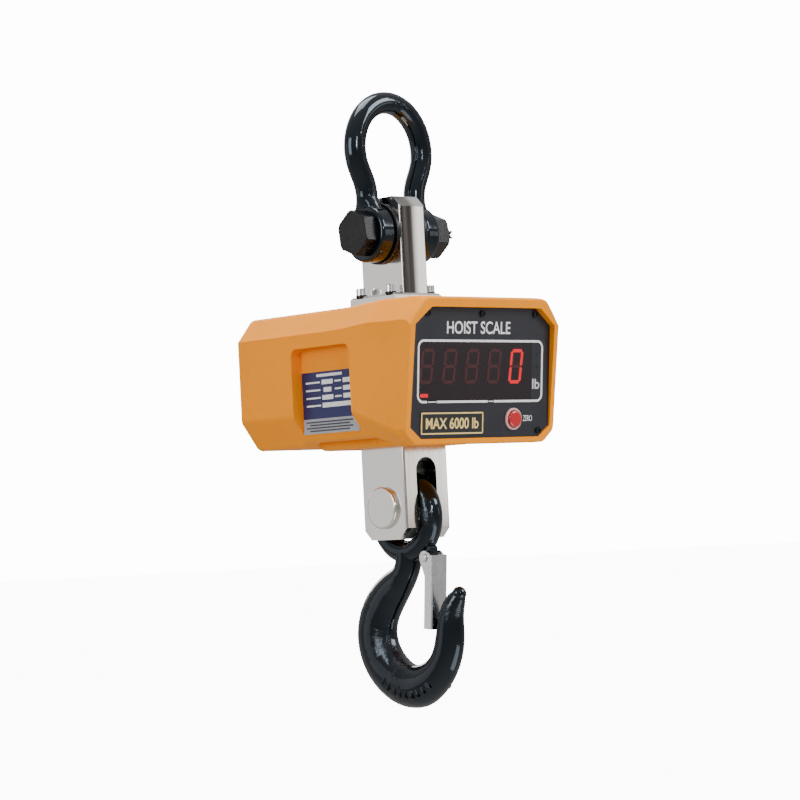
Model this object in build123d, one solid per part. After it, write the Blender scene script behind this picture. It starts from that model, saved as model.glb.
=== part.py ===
from build123d import *
import os
from math import cos, radians, sin, tan

# A crane scale: a bow shackle on top, a load cell inside a moulded housing with a
# display in front, and an eye hook with a latch below.
# Millimetres. +Z up, the display faces -Y, the hex head of the shackle bolt is at -X.
# The origin is the hang point, at the inside of the shackle's crown.

# --- clearances ---------------------------------------------------------------
RUN_FIT = 0.05            # radial gap of a pin or shaft that turns in its hole
SEAT_GAP = 0.05           # gap between two pieces bolted together
MOVE_GAP = 0.35           # gap between faces that pass each other
HOLE_PLAY = 0.25          # radial gap of a screw in its hole

# --- bow shackle --------------------------------------------------------------
BOW_INSIDE_HEIGHT = 105.0  # bolt axis to the inside of the crown
BOW_BAR_D = 19.0
BOW_HALF_WIDTH = 38.4      # bar centre at the widest place
BOW_WIDEST_UP = 72.5       # widest place above the bolt axis
LEG_UP = 31.0              # where the round bar starts above the bolt axis
LEG_SPREAD = 1.65          # bar centre there, outside the middle of the ear
LEG_TAPER = 11.0           # height over which the bar flattens into the ear
EAR_D = 50.0
EAR_T = 15.5
SPACER_T = 3.4             # between an ear and the eye block
EAR_ROUND = 3.0
BOLT_D = 22.0
HEX_FLATS = 35.0
HEX_TURN = 22.0            # how far the hexagons are turned on the bolt, degrees
HEX_ROUND = 0.575          # radius of the turned corners, in flats
HEX_BEVEL = 1.2
HEAD_T = 12.5
NUT_T = 18.0
BOLT_TAIL = 8.0            # bolt beyond the nut
COTTER_D = 3.2
COTTER_REACH = 1.6         # straight part of the split pin beyond the bolt
COTTER_LEG = 4.4
SPACER_D = 53.0

# --- upper eye block and top plate --------------------------------------------
EYE_BLOCK_X = 28.4
BLOCK_Y = 53.6             # eye block and load cell, front to back
EYE_BLOCK_TOP = 31.0       # above the bolt axis
BLOCK_CHAMFER = 9.5
BLOCK_EDGE = 2.0
EYE_BLOCK_FOOT = 40.0      # block below the top plate's upper face
PLATE_X = 54.0
PLATE_Y = 58.0
PLATE_T = 12.0
PLATE_DROP = 53.0          # plate's upper face below the bolt axis
PLATE_EDGE = 2.0
PLATE_SCREW_X = 22.5
PLATE_SCREW_Y = 19.0
PLATE_SCREW_D = 5.0
PLATE_HEAD_D = 9.0
PLATE_HEAD_T = 6.0
PLATE_WASHER_D = 10.0
PLATE_WASHER_T = 1.3

# --- housing ------------------------------------------------------------------
HOUSING_WIDTH = 172.0
HOUSING_HEIGHT = 115.5     # rear half
HOUSING_REAR = 115.0       # rear face from the load axis
HEAD_RISE = 2.6            # how far the front head stands above the rear half
HEAD_DROP = 5.5            # and below it
RIM_FRONT = 105.5          # rim face from the load axis, half way up the panel
RIM_LEAN = 8.7             # top of the rim leans forward, degrees
RIM_DROP = 3.8             # the head's top falls by this much towards the rim
HEAD_SAG = 0.6
TOP_CHAMFER_X = 17.0
TOP_CHAMFER_Z = 20.0
LOW_CHAMFER_X = 18.0
LOW_CHAMFER_Z = 25.0
HEAD_LOW_CUT_X = 11.5      # smaller bottom chamfer of the head
HEAD_LOW_CUT_Z = 10.5
WALL = 3.4
EDGE_ROUND = 8.0           # long edges of the housing
REAR_ROUND = 3.0           # outline of the rear face
RIM_ROUND = 1.5            # outline of the rim
WAIST_TOP_Y = -8.0
HEAD_TOP_Y = -62.0
HEAD_RUN = 18.0            # level stretch of the head's top
WAIST_LOW_Y = -34.0
HEAD_LOW_Y = -86.0
STEP_RUN = 12.0            # the rear half steps down to its underside over this
WAIST_LIFT = 3.8           # the underside rises here between rear half and belly
REAR_LOW_Y = 44.0
BELLY_X = 108.0
BELLY_FRONT = -42.0
BELLY_REAR = 60.0
BELLY_DROP = 3.6
BELLY_DEEP = 12.0          # how far the swelling is sunk in the housing
BELLY_CORNER = 18.0
BELLY_ROUND = 7.0
POCKET_FRONT = -33.0
POCKET_REAR = 42.0
POCKET_TOP_DROP = 32.0     # pocket's upper edge below the housing's top
POCKET_DEPTH = 10.5
POCKET_CORNER = 6.0
LABEL_FRONT = -31.5
LABEL_REAR = 40.5
LABEL_H = 52.5
LABEL_LIFT = 0.1           # label above the open lower end of its pocket
LABEL_T = 0.6

# --- display panel ------------------------------------------------------------
PANEL_HALF_W = 80.0
PANEL_UP = 53.0            # panel edges from the panel's own centre
PANEL_DOWN = 55.3
PANEL_T = 3.0
PANEL_TILT = 5.8           # top leans forward, degrees
PANEL_FRONT = 101.7        # panel face from the load axis at the panel's centre
PANEL_DEEP = 60.8          # panel centre below the housing's top
PANEL_TOP_CUT_X = 17.5
PANEL_TOP_CUT_Z = 14.5
PANEL_LOW_CUT_X = 12.5
PANEL_LOW_CUT_Z = 9.5
PANEL_GAP = 0.3
LEDGE_W = 6.0
LEDGE_T = 4.0
GASKET_T = 1.0
WINDOW_W = 130.4
WINDOW_H = 49.6
WINDOW_X = -6.5
WINDOW_T = 2.0
DIGIT_W = 21.0
DIGIT_H = 34.0
DIGIT_PITCH = 25.4
DIGIT_X0 = -57.5
DIGIT_Z = 4.0
DIGIT_T = 6.0
DIGIT_COUNT = 5
DIGIT_GAP = 1.2            # between the window and the digits
INDICATOR_D = 5.0
INDICATOR_X = -64.5
INDICATOR_Z = -20.2
PANEL_SCREW_D = 3.0
PANEL_SCREW_IN = 5.0       # screws in from the panel's upper and lower edges
PANEL_SCREW_SIDE = 18.0    # upper screws in from its sides
PANEL_SCREW_LOW = 12.5     # lower screw in from its side
PANEL_SCREW_L = 5.0
PANEL_HEAD_D = 5.6
PANEL_HEAD_T = 1.6
BUTTON_X = 37.8
BUTTON_Z = -40.3
BUTTON_RING_D = 18.5
BUTTON_RING_T = 1.8
BUTTON_CAP_D = 14.6
BUTTON_PROUD = 4.2
BUTTON_TRAVEL = 1.5
BUTTON_STEM_D = 6.0
BUTTON_STEM_L = 2.0
KEY_SWITCH = 12.0
BADGE_W = 71.0
BADGE_H = 18.6
BADGE_X = -32.6
BADGE_Z = -43.0
BADGE_T = 0.6

# --- lower block, pin, hook and latch -----------------------------------------
CLEVIS_X = 50.8
CLEVIS_Y = 55.0
CLEVIS_BELOW_PIN = 27.4
PIN_DROP = 235.6           # pin axis below the bolt axis
CLEVIS_TOP_UP = 79.0       # top of the lower block above the pin axis
SLOT_W = 23.0
SLOT_UP = 42.0
PIN_D = 24.0
PIN_HEAD_D = 36.0
PIN_HEAD_T = 3.8
PIN_TAIL = 6.0             # pin beyond the block, with the ring groove in it
GROOVE_W = 1.6
GROOVE_DEEP = 1.4
RING_CENTRE_R = 30.6
RING_BAR_D = 20.0
NECK_D = 22.0
THROAT_Y = -3.0
SADDLE_DROP = 135.5        # saddle below the pin axis
HOOK_BOTTOM = 172.5        # underside of the bowl below the pin axis
BACK_LIMB_Y = 45.5
BACK_LIMB_X = 28.0
BACK_LIMB_W = 42.0
TIP_LIMB_Y = -47.5
TIP_LIMB_X = 22.0
TIP_LIMB_W = 27.0
TIP_DROP = 69.0            # top of the tip below the pin axis
TIP_END_Y = -61.0
TIP_D = 12.4
LATCH_PIVOT_Y = -29.0
LATCH_PIVOT_DROP = 44.0
LATCH_BOLT_D = 5.0
LATCH_LENGTH = 60.4        # pivot to the lower end
LATCH_ABOVE = 2.8          # web above the pivot
LATCH_SHEET = 1.5
LATCH_X = 17.6             # outside width of the channel
LATCH_FRONT = 10.5         # outer face of the web, in front of the pivot
LATCH_FLANGE = 9.8         # depth of the flanges over the lower part
LATCH_EYE_D = 12.0
LATCH_WIDE = 16.0          # the flanges narrow down to here below the pivot
LATCH_LEAN = 5.3           # lower end leans back, degrees
LATCH_HEAD_D = 7.0
LATCH_HEAD_T = 1.5
LATCH_NUT_FLATS = 7.0
LATCH_NUT_T = 2.5
LUG_X = 9.0
LUG_D = 8.6
HORN_FRONT = -32.0         # the web that carries the lug, under the ring
HORN_UP = 10.0
SPRING_WIRE_D = 1.0
SPRING_COIL_D = 7.2

# --- inside -------------------------------------------------------------------
CELL_X = 44.0
STUD_D = 20.0
STUD_L = 30.0
BOARD_T = 1.6
BOARD_W = 136.0
BOARD_H = 80.0
POST_IN = 5.0              # posts in from a board's edges
POST_D = 5.6
POST_HOLE_D = 3.4
MAIN_BOARD_X = 110.0
MAIN_BOARD_Z = 64.0
MAIN_BOARD_GAP = 14.0      # behind the load cell
PACK_X = 96.0
PACK_Y = 34.0
PACK_Z = 62.0
PACK_GAP = 6.0             # between the pack and the rear gasket
TRAY_WALL = 2.0
TRAY_DEEP = 18.0
COVER_X = 120.0
COVER_Z = 84.0
COVER_T = 4.0
COVER_PROUD = 1.0
COVER_CORNER = 8.0
COVER_SCREW_IN = 5.5
COVER_HEAD_D = 7.2
COVER_HEAD_T = 2.2
COVER_SCREW_D = 4.0
SWITCH_X = 20.0
SWITCH_Z = 13.0
SWITCH_RIM = 1.6
SWITCH_LIP = 1.4
SOCKET_D = 12.0
SOCKET_LIP = 2.0
SOCKET_BORE_D = 7.2
SOCKET_LIP_T = 1.6

# --- heights worked out from the sizes above ----------------------------------
bolt_z = -BOW_INSIDE_HEIGHT
plate_top = bolt_z - PLATE_DROP
plate_low = plate_top - PLATE_T
housing_top = plate_low - SEAT_GAP
housing_low = housing_top - HOUSING_HEIGHT
head_top = housing_top + HEAD_RISE
head_low = housing_low - HEAD_DROP
panel_z = housing_top - PANEL_DEEP
pin_z = bolt_z - PIN_DROP
clevis_top = pin_z + CLEVIS_TOP_UP
clevis_low = pin_z - CLEVIS_BELOW_PIN
eye_block_low = plate_top - EYE_BLOCK_FOOT
cell_top = eye_block_low - SEAT_GAP
cell_low = clevis_top + SEAT_GAP
ring_z = pin_z + PIN_D / 2 + MOVE_GAP - (RING_CENTRE_R - RING_BAR_D / 2)
latch_z = pin_z - LATCH_PIVOT_DROP
half_width = HOUSING_WIDTH / 2
middle = (housing_top + housing_low) / 2
ear_inner = EYE_BLOCK_X / 2 + SEAT_GAP + SPACER_T + MOVE_GAP
ear_x = ear_inner + EAR_T / 2
ear_outer = ear_inner + EAR_T
leg_out = ear_x + LEG_SPREAD

panel_frame = Plane(origin=(0, -PANEL_FRONT, panel_z), x_dir=(1, 0, 0),
                    z_dir=(0, -cos(radians(PANEL_TILT)), -sin(radians(PANEL_TILT))))


# --- small helpers ------------------------------------------------------------
def block(x0, x1, y0, y1, z0, z1):
    """A box between two corners."""
    return Pos((x0 + x1) / 2, (y0 + y1) / 2, (z0 + z1) / 2) * Box(x1 - x0, y1 - y0, z1 - z0)


def rod_x(radius, x0, x1, y=0.0, z=0.0):
    """A round bar along X."""
    return Pos((x0 + x1) / 2, y, z) * Rot(0, 90, 0) * Cylinder(radius, x1 - x0)


def rod_y(radius, y0, y1, x=0.0, z=0.0):
    """A round bar along Y."""
    return Pos(x, (y0 + y1) / 2, z) * Rot(90, 0, 0) * Cylinder(radius, y1 - y0)


def rod_z(radius, z0, z1, x=0.0, y=0.0):
    """A round bar along Z."""
    return Pos(x, y, (z0 + z1) / 2) * Cylinder(radius, z1 - z0)


def panel_rod(radius, front, back, x=0.0, h=0.0):
    """A round bar square to the display panel; front and back are heights above its face."""
    return panel_frame * Pos(x, h, (front + back) / 2) * Cylinder(radius, front - back)


def panel_block(width, height, front, back, x=0.0, h=0.0):
    """A box square to the display panel."""
    return panel_frame * Pos(x, h, (front + back) / 2) * Box(width, height, front - back)


def corners(dx, dy):
    """The four corners of a rectangle about its middle."""
    return [(sx * dx, sy * dy) for sx in (-1, 1) for sy in (-1, 1)]


def hexagon_x(flats, x0, x1, z, turn):
    """A hexagonal prism along X."""
    shape = RegularPolygon(flats / 2, 6, major_radius=False, rotation=turn)
    return extrude(Plane(origin=(x0, 0, z), x_dir=(0, 1, 0), z_dir=(1, 0, 0)) * shape, x1 - x0)


def group(pieces):
    """Several separate solids kept in one node."""
    return Compound(children=list(pieces))


# --- shackle ------------------------------------------------------------------
def bow_shackle():
    up = bolt_z + LEG_UP
    wide = bolt_z + BOW_WIDEST_UP
    crown = BOW_BAR_D / 2
    rise = crown - wide
    pull = 0.5523   # makes a Bezier curve a quarter of an ellipse
    with BuildLine(Plane.XZ) as line:
        Spline((-leg_out, up), (-BOW_HALF_WIDTH, wide), tangents=[(0, 1), (0, 1)])
        Bezier((-BOW_HALF_WIDTH, wide), (-BOW_HALF_WIDTH, wide + pull * rise),
               (-pull * BOW_HALF_WIDTH, crown), (0, crown))
        Bezier((0, crown), (pull * BOW_HALF_WIDTH, crown),
               (BOW_HALF_WIDTH, wide + pull * rise), (BOW_HALF_WIDTH, wide))
        Spline((BOW_HALF_WIDTH, wide), (leg_out, up), tangents=[(0, -1), (0, -1)])
    start = Plane(origin=(-leg_out, 0, up), z_dir=(0, 0, 1))
    bow = sweep(start * Circle(BOW_BAR_D / 2), path=line.wire())
    for side in (-1, 1):
        ear = rod_x(EAR_D / 2, side * ear_x - EAR_T / 2, side * ear_x + EAR_T / 2, 0, bolt_z)
        ear = fillet(ear.edges().filter_by(GeomType.CIRCLE), EAR_ROUND)
        low = Plane(origin=(side * ear_x, 0, up - LEG_TAPER), z_dir=(0, 0, 1))
        high = Plane(origin=(side * leg_out, 0, up), z_dir=(0, 0, 1))
        foot = low * RectangleRounded(EAR_T - 0.6, 1.5 * BOW_BAR_D, EAR_T / 2.2)
        leg = loft([foot, high * Circle(BOW_BAR_D / 2)])
        bow = bow + ear + leg
    hole = rod_x(BOLT_D / 2 + RUN_FIT, -ear_outer - 1, ear_outer + 1, 0, bolt_z)
    return bow - hole


def shackle_bolt():
    head = hexagon_x(HEX_FLATS, -ear_outer - SEAT_GAP - HEAD_T, -ear_outer - SEAT_GAP, bolt_z, HEX_TURN)
    bevel = rod_x(HEX_FLATS * HEX_ROUND, -ear_outer - SEAT_GAP - HEAD_T, -ear_outer - SEAT_GAP, 0, bolt_z)
    bevel = chamfer(bevel.edges().filter_by(GeomType.CIRCLE).sort_by(Axis.X)[0], HEX_BEVEL)
    end = ear_outer + NUT_T + BOLT_TAIL
    shank = rod_x(BOLT_D / 2, -ear_outer - 1, end, 0, bolt_z)
    shank = chamfer(shank.edges().filter_by(GeomType.CIRCLE).sort_by(Axis.X)[-1], 1.5)
    return (head & bevel) + shank - rod_y(COTTER_D / 2 + HOLE_PLAY, -BOLT_D, BOLT_D, cotter_x(), bolt_z)


def cotter_x():
    return ear_outer + NUT_T + BOLT_TAIL / 2


def shackle_nut():
    x0 = ear_outer + SEAT_GAP
    nut = hexagon_x(HEX_FLATS, x0, x0 + NUT_T - 1, bolt_z, HEX_TURN)
    bevel = rod_x(HEX_FLATS * HEX_ROUND, x0, x0 + NUT_T - 1, 0, bolt_z)
    bevel = chamfer(bevel.edges().filter_by(GeomType.CIRCLE), HEX_BEVEL)
    return (nut & bevel) - rod_x(BOLT_D / 2 + RUN_FIT, x0 - 1, x0 + NUT_T + 1, 0, bolt_z)


def split_pin():
    x = cotter_x()
    reach = BOLT_D / 2 + COTTER_REACH
    stem = rod_y(COTTER_D / 2, -reach, reach, x, bolt_z)
    eye_r = COTTER_D
    pin = stem + Pos(x, reach + eye_r - COTTER_D / 4, bolt_z) * Rot(0, 90, 0) * Torus(eye_r, COTTER_D / 4)
    for side in (-1, 1):
        place = Pos(x, -reach - COTTER_LEG / 4, bolt_z + side * COTTER_LEG / 3)
        pin = pin + place * Rot(90 - side * 45, 0, 0) * Cylinder(COTTER_D / 3, COTTER_LEG)
    return pin


def shackle_spacers():
    inner = EYE_BLOCK_X / 2 + SEAT_GAP
    rings = []
    for side in (-1, 1):
        x0, x1 = sorted((side * inner, side * (inner + SPACER_T)))
        ring = rod_x(SPACER_D / 2, x0, x1, 0, bolt_z)
        ring = fillet(ring.edges().filter_by(GeomType.CIRCLE), 0.8)
        rings.append(ring - rod_x(BOLT_D / 2 + RUN_FIT, x0 - 1, x1 + 1, 0, bolt_z))
    return group(rings)


# --- load line ----------------------------------------------------------------
def nickel_block(x_size, y_size, low, high, cut_top, cut_low):
    """A bar on the load axis with its front and rear edges cut at one end."""
    bar = block(-x_size / 2, x_size / 2, -y_size / 2, y_size / 2, low, high)
    bar = fillet(bar.edges().filter_by(Axis.Z), BLOCK_EDGE)
    for side in (-1, 1):
        for level, cut in ((high, cut_top), (low, cut_low)):
            if cut:
                wedge = Rot(45, 0, 0) * Box(x_size * 2, cut * 1.41421, cut * 1.41421)
                bar = bar - Pos(0, side * y_size / 2, level) * wedge
    return bar


def upper_eye_block():
    bar = nickel_block(EYE_BLOCK_X, BLOCK_Y, eye_block_low, bolt_z + EYE_BLOCK_TOP, BLOCK_CHAMFER, 0)
    bar = bar - rod_x(BOLT_D / 2 + RUN_FIT, -EYE_BLOCK_X, EYE_BLOCK_X, 0, bolt_z)
    return bar - rod_z(STUD_D / 2 + RUN_FIT, eye_block_low - 1, eye_block_low + STUD_L / 2)


def top_plate():
    plate = block(-PLATE_X / 2, PLATE_X / 2, -PLATE_Y / 2, PLATE_Y / 2, plate_low, plate_top)
    plate = chamfer(plate.edges().group_by(Axis.Z)[-1], PLATE_EDGE)
    play = 2 * MOVE_GAP
    plate = plate - block(-(EYE_BLOCK_X + play) / 2, (EYE_BLOCK_X + play) / 2,
                          -(BLOCK_Y + play) / 2, (BLOCK_Y + play) / 2, plate_low - 1, plate_top + 1)
    for x, y in corners(PLATE_SCREW_X, PLATE_SCREW_Y):
        plate = plate - rod_z(PLATE_SCREW_D / 2 + HOLE_PLAY, plate_low - 1, plate_top + 1, x, y)
    return plate


def top_plate_washers():
    low = plate_top + SEAT_GAP
    rings = []
    for x, y in corners(PLATE_SCREW_X, PLATE_SCREW_Y):
        ring = rod_z(PLATE_WASHER_D / 2, low, low + PLATE_WASHER_T, x, y)
        rings.append(ring - rod_z(PLATE_SCREW_D / 2 + HOLE_PLAY, low - 1, low + PLATE_WASHER_T + 1, x, y))
    return group(rings)


def socket_screw(x, y, seat, head_d, head_t, shank_d, shank_l):
    """A socket-head screw standing on a seat height, its shank pointing down."""
    head = rod_z(head_d / 2, seat, seat + head_t, x, y)
    head = chamfer(head.edges().filter_by(GeomType.CIRCLE).sort_by(Axis.Z)[-1], 0.6)
    key = Pos(x, y, seat + head_t * 0.45) * extrude(RegularPolygon(head_d * 0.26, 6), head_t)
    return head - key + rod_z(shank_d / 2, seat - shank_l, seat + 0.5, x, y)


def top_plate_screws():
    seat = plate_top + 2 * SEAT_GAP + PLATE_WASHER_T
    length = PLATE_WASHER_T + PLATE_T + WALL + 1.5
    return group([socket_screw(x, y, seat, PLATE_HEAD_D, PLATE_HEAD_T, PLATE_SCREW_D, length)
                  for x, y in corners(PLATE_SCREW_X, PLATE_SCREW_Y)])


def load_cell():
    cell = block(-CELL_X / 2, CELL_X / 2, -BLOCK_Y / 2, BLOCK_Y / 2, cell_low, cell_top)
    centre = (cell_low + cell_top) / 2
    third = (cell_top - cell_low) / 6
    for side in (-1, 1):
        level = centre + side * third
        y0, y1 = sorted((side * BLOCK_Y, -side * BLOCK_Y * 0.22))
        cell = cell - block(-CELL_X, CELL_X, y0, y1, level - 1.2, level + 1.2)
    cell = cell - rod_x(CELL_X / 8, -CELL_X, CELL_X, 0, centre)
    depth = STUD_L / 2
    cell = cell - rod_z(STUD_D / 2 + RUN_FIT, cell_top - depth * 0.55, cell_top + 1)
    return cell - rod_z(STUD_D / 2 + RUN_FIT, cell_low - 1, cell_low + depth * 0.55)


def load_cell_studs():
    depth = STUD_L / 2
    upper = rod_z(STUD_D / 2, cell_top - depth * 0.5, cell_top + depth - 0.5)
    lower = rod_z(STUD_D / 2, cell_low - depth + 0.5, cell_low + depth * 0.5)
    return group([upper, lower])


def lower_clevis_block():
    bar = nickel_block(CLEVIS_X, CLEVIS_Y, clevis_low, clevis_top, 0, BLOCK_CHAMFER)
    arch_z = pin_z + SLOT_UP - SLOT_W / 2
    bar = bar - block(-SLOT_W / 2, SLOT_W / 2, -CLEVIS_Y, CLEVIS_Y, clevis_low - 1, arch_z)
    bar = bar - rod_y(SLOT_W / 2, -CLEVIS_Y, CLEVIS_Y, 0, arch_z)
    bar = bar - rod_x(PIN_D / 2 + RUN_FIT, -CLEVIS_X, CLEVIS_X, 0, pin_z)
    return bar - rod_z(STUD_D / 2 + RUN_FIT, clevis_top - STUD_L / 2, clevis_top + 1)


def clevis_pin():
    seat = -CLEVIS_X / 2 - SEAT_GAP
    head = rod_x(PIN_HEAD_D / 2, seat - PIN_HEAD_T, seat, 0, pin_z)
    head = fillet(head.edges().filter_by(GeomType.CIRCLE).sort_by(Axis.X)[0], 1.6)
    end = CLEVIS_X / 2 + PIN_TAIL
    shank = rod_x(PIN_D / 2, seat - 1, end, 0, pin_z)
    shank = chamfer(shank.edges().filter_by(GeomType.CIRCLE).sort_by(Axis.X)[-1], 1.2)
    groove = rod_x(PIN_D, groove_x(), groove_x() + GROOVE_W, 0, pin_z)
    groove = groove - rod_x(PIN_D / 2 - GROOVE_DEEP, seat, end, 0, pin_z)
    return head + shank - groove


def groove_x():
    """Where the retaining-ring groove begins along the pin."""
    return CLEVIS_X / 2 + PIN_TAIL / 4


def pin_retaining_ring():
    x0 = groove_x() + SEAT_GAP
    x1 = groove_x() + GROOVE_W - SEAT_GAP
    ring = rod_x(PIN_D / 2 + 2 * GROOVE_DEEP, x0, x1, 0, pin_z)
    ring = ring - rod_x(PIN_D / 2 - GROOVE_DEEP + SEAT_GAP, x0 - 1, x1 + 1, 0, pin_z)
    mouth = PIN_D / 5
    return ring - block(x0 - 1, x1 + 1, -mouth, mouth, pin_z - PIN_D, pin_z)


# --- housing ------------------------------------------------------------------
def rim_y(z):
    """Y of the leaning rim face at a height."""
    return -RIM_FRONT - (z - panel_z) * tan(radians(RIM_LEAN))


def side_outline(inset):
    """The housing seen from its side, drawn smaller by an inset."""
    top = housing_top - inset
    low = housing_low + inset
    waist = low + WAIST_LIFT
    front_top = head_top - RIM_DROP - inset
    front_low = head_low + inset
    rear = HOUSING_REAR - inset
    high = head_top - inset
    knee = HEAD_TOP_Y - HEAD_RUN
    with BuildSketch(Plane.YZ) as sketch:
        with BuildLine():
            Polyline((rear, top), (WAIST_TOP_Y, top))
            Spline((WAIST_TOP_Y, top), (HEAD_TOP_Y, high), tangents=[(-1, 0), (-1, 0)])
            Spline((HEAD_TOP_Y, high), (knee, high - HEAD_SAG), (rim_y(front_top) + inset, front_top),
                   tangents=[(-1, 0), (-1, -0.45)])
            Line((rim_y(front_top) + inset, front_top), (rim_y(front_low) + inset, front_low))
            Line((rim_y(front_low) + inset, front_low), (HEAD_LOW_Y, front_low))
            Spline((HEAD_LOW_Y, front_low), (WAIST_LOW_Y, waist), tangents=[(1, 0), (1, 0)])
            Line((WAIST_LOW_Y, waist), (REAR_LOW_Y, waist))
            Spline((REAR_LOW_Y, waist), (REAR_LOW_Y + STEP_RUN, low), tangents=[(1, 0), (1, 0)])
            Polyline((REAR_LOW_Y + STEP_RUN, low), (rear, low), (rear, top))
        make_face()
    return sketch.sketch


def housing_form(inset):
    """The closed form of the housing, drawn smaller by an inset."""
    half = half_width - inset
    body = extrude(Pos(-half, 0, 0) * side_outline(inset), amount=2 * half)
    for index in (0, -1):
        side = body.faces().sort_by(Axis.X)[index]
        runs = [e for e in side.edges() if e.bounding_box().size.Y > e.bounding_box().size.Z]
        upper = [e for e in runs if e.center().Z > middle]
        body = chamfer(upper, TOP_CHAMFER_Z, TOP_CHAMFER_X, reference=side)
    for side in (-1, 1):
        for wedge in low_wedges(side, half, inset):
            body = body - wedge
    return body


def rounded_form():
    """The outside of the housing with its long edges, rear outline and rim softened."""
    form = housing_form(0)
    long_edges = [e for e in form.edges() if runs_along(e)]
    form = fillet([e for e in long_edges if e.center().Z < middle], EDGE_ROUND)
    long_edges = [e for e in form.edges() if runs_along(e) and e.center().Z > middle]
    form = fillet([e for e in long_edges if abs(e.center().X) < half_width - TOP_CHAMFER_X / 2], EDGE_ROUND)
    rear = form.faces().sort_by(Axis.Y)[-1]
    form = fillet(rear.edges(), REAR_ROUND)
    rim = [e for e in form.edges() if e.center().Y < rim_y(head_low) + RIM_ROUND and not runs_along(e)]
    return fillet(rim, RIM_ROUND)


def runs_along(edge):
    """Whether an edge runs mainly from front to back."""
    size = edge.bounding_box().size
    return size.Y > size.Z and size.Y > size.X


def wedge_section(side, half, y, run, rise, level):
    """A triangle outside the lower side chamfer, in the plane across Y."""
    more = 1.6
    near = (side * (half - run * (1 + more)), level - rise * more)
    far = (side * (half + run * more), level + rise * (1 + more))
    corner = (far[0], near[1])
    outline = make_face(Polyline(near, far, corner, near))
    return Plane(origin=(0, y, 0), x_dir=(1, 0, 0), z_dir=(0, -1, 0)) * outline


def low_wedges(side, half, inset):
    """What the lower side chamfer removes: straight at the back, then blending into the head."""
    back = (LOW_CHAMFER_X, LOW_CHAMFER_Z, housing_low + inset)
    head = (HEAD_LOW_CUT_X, HEAD_LOW_CUT_Z, head_low + inset)
    rear = extrude(wedge_section(side, half, 200, *back), 200 - WAIST_LOW_Y)
    blend = loft([wedge_section(side, half, WAIST_LOW_Y, *back), wedge_section(side, half, HEAD_LOW_Y, *head)])
    front = extrude(wedge_section(side, half, HEAD_LOW_Y, *head), 100)
    return [rear, blend, front]


def octagon(grow, top_x, top_z, low_x, low_z):
    """The display panel's outline in its own plane, grown on every side."""
    w = PANEL_HALF_W + grow
    up = PANEL_UP + grow
    down = PANEL_DOWN + grow
    points = [(-w, up - top_z), (-w + top_x, up), (w - top_x, up), (w, up - top_z),
              (w, -down + low_z), (w - low_x, -down), (-w + low_x, -down), (-w, -down + low_z)]
    return make_face(Polyline(points + points[:1]))


def panel_outline(grow):
    return octagon(grow, PANEL_TOP_CUT_X, PANEL_TOP_CUT_Z, PANEL_LOW_CUT_X, PANEL_LOW_CUT_Z)


def panel_prism(grow, front, back):
    """The panel's outline as a slab between two heights above the panel's face."""
    plane = panel_frame * Pos(0, 0, back)
    return extrude(plane * panel_outline(grow), front - back)


def side_pocket(side):
    x0, x1 = sorted((side * (half_width - POCKET_DEPTH), side * (half_width + 20)))
    low = housing_low - 20
    pocket = block(x0, x1, POCKET_FRONT, POCKET_REAR, low, housing_top - POCKET_TOP_DROP)
    upper = pocket.edges().filter_by(Axis.X).group_by(Axis.Z)[-1]
    return fillet(upper, POCKET_CORNER)


def belly(inset):
    """A low swelling under the housing round the lower block."""
    half = BELLY_X / 2 - inset
    form = block(-half, half, BELLY_FRONT + inset, BELLY_REAR - inset,
                 housing_low - BELLY_DROP + inset, housing_low + BELLY_DEEP + inset)
    form = fillet(form.edges().filter_by(Axis.Z), BELLY_CORNER - inset)
    return fillet(form.edges().group_by(Axis.Z)[0], BELLY_ROUND - inset)


def housing_shell():
    shell = rounded_form()
    for side in (-1, 1):
        shell = shell - side_pocket(side)
    shell = shell + belly(0)
    hollow = housing_form(WALL)
    back = -PANEL_T - GASKET_T - LEDGE_T
    hollow = hollow - panel_block(4 * HOUSING_WIDTH, 4 * HOUSING_HEIGHT, 200, back)
    for side in (-1, 1):
        wall = Pos(-side * WALL, 0, 0) * side_pocket(side)
        hollow = hollow - block_around(wall, side)
    hollow = hollow + belly(WALL)
    shell = shell - hollow
    shell = shell - panel_prism(PANEL_GAP, 60, -PANEL_T - GASKET_T)
    shell = shell - panel_prism(-LEDGE_W, 60, -60)
    for x, h in panel_screw_spots():
        shell = shell - panel_rod(PANEL_SCREW_D / 2 + HOLE_PLAY, 1, -20, x, h)
    shell = shell - block(-PLATE_X / 2 - MOVE_GAP, PLATE_X / 2 + MOVE_GAP, -PLATE_Y / 2 - MOVE_GAP,
                          PLATE_Y / 2 + MOVE_GAP, housing_top, housing_top + 20)
    play = MOVE_GAP
    shell = shell - block(-CLEVIS_X / 2 - play, CLEVIS_X / 2 + play, -CLEVIS_Y / 2 - play, CLEVIS_Y / 2 + play,
                          housing_low - 20, housing_low + 20)
    shell = shell - block(-EYE_BLOCK_X / 2 - play, EYE_BLOCK_X / 2 + play, -BLOCK_Y / 2 - play, BLOCK_Y / 2 + play,
                          housing_top - 20, housing_top + 20)
    for x, y in corners(PLATE_SCREW_X, PLATE_SCREW_Y):
        shell = shell - rod_z(PLATE_SCREW_D / 2 + HOLE_PLAY, housing_top - 20, housing_top + 5, x, y)
    shell = shell - rear_prism(PANEL_GAP, HOUSING_REAR - COVER_T - GASKET_T, HOUSING_REAR + 5)
    shell = shell - rear_prism(-LEDGE_W, HOUSING_REAR - 30, HOUSING_REAR + 5)
    return shell


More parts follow.
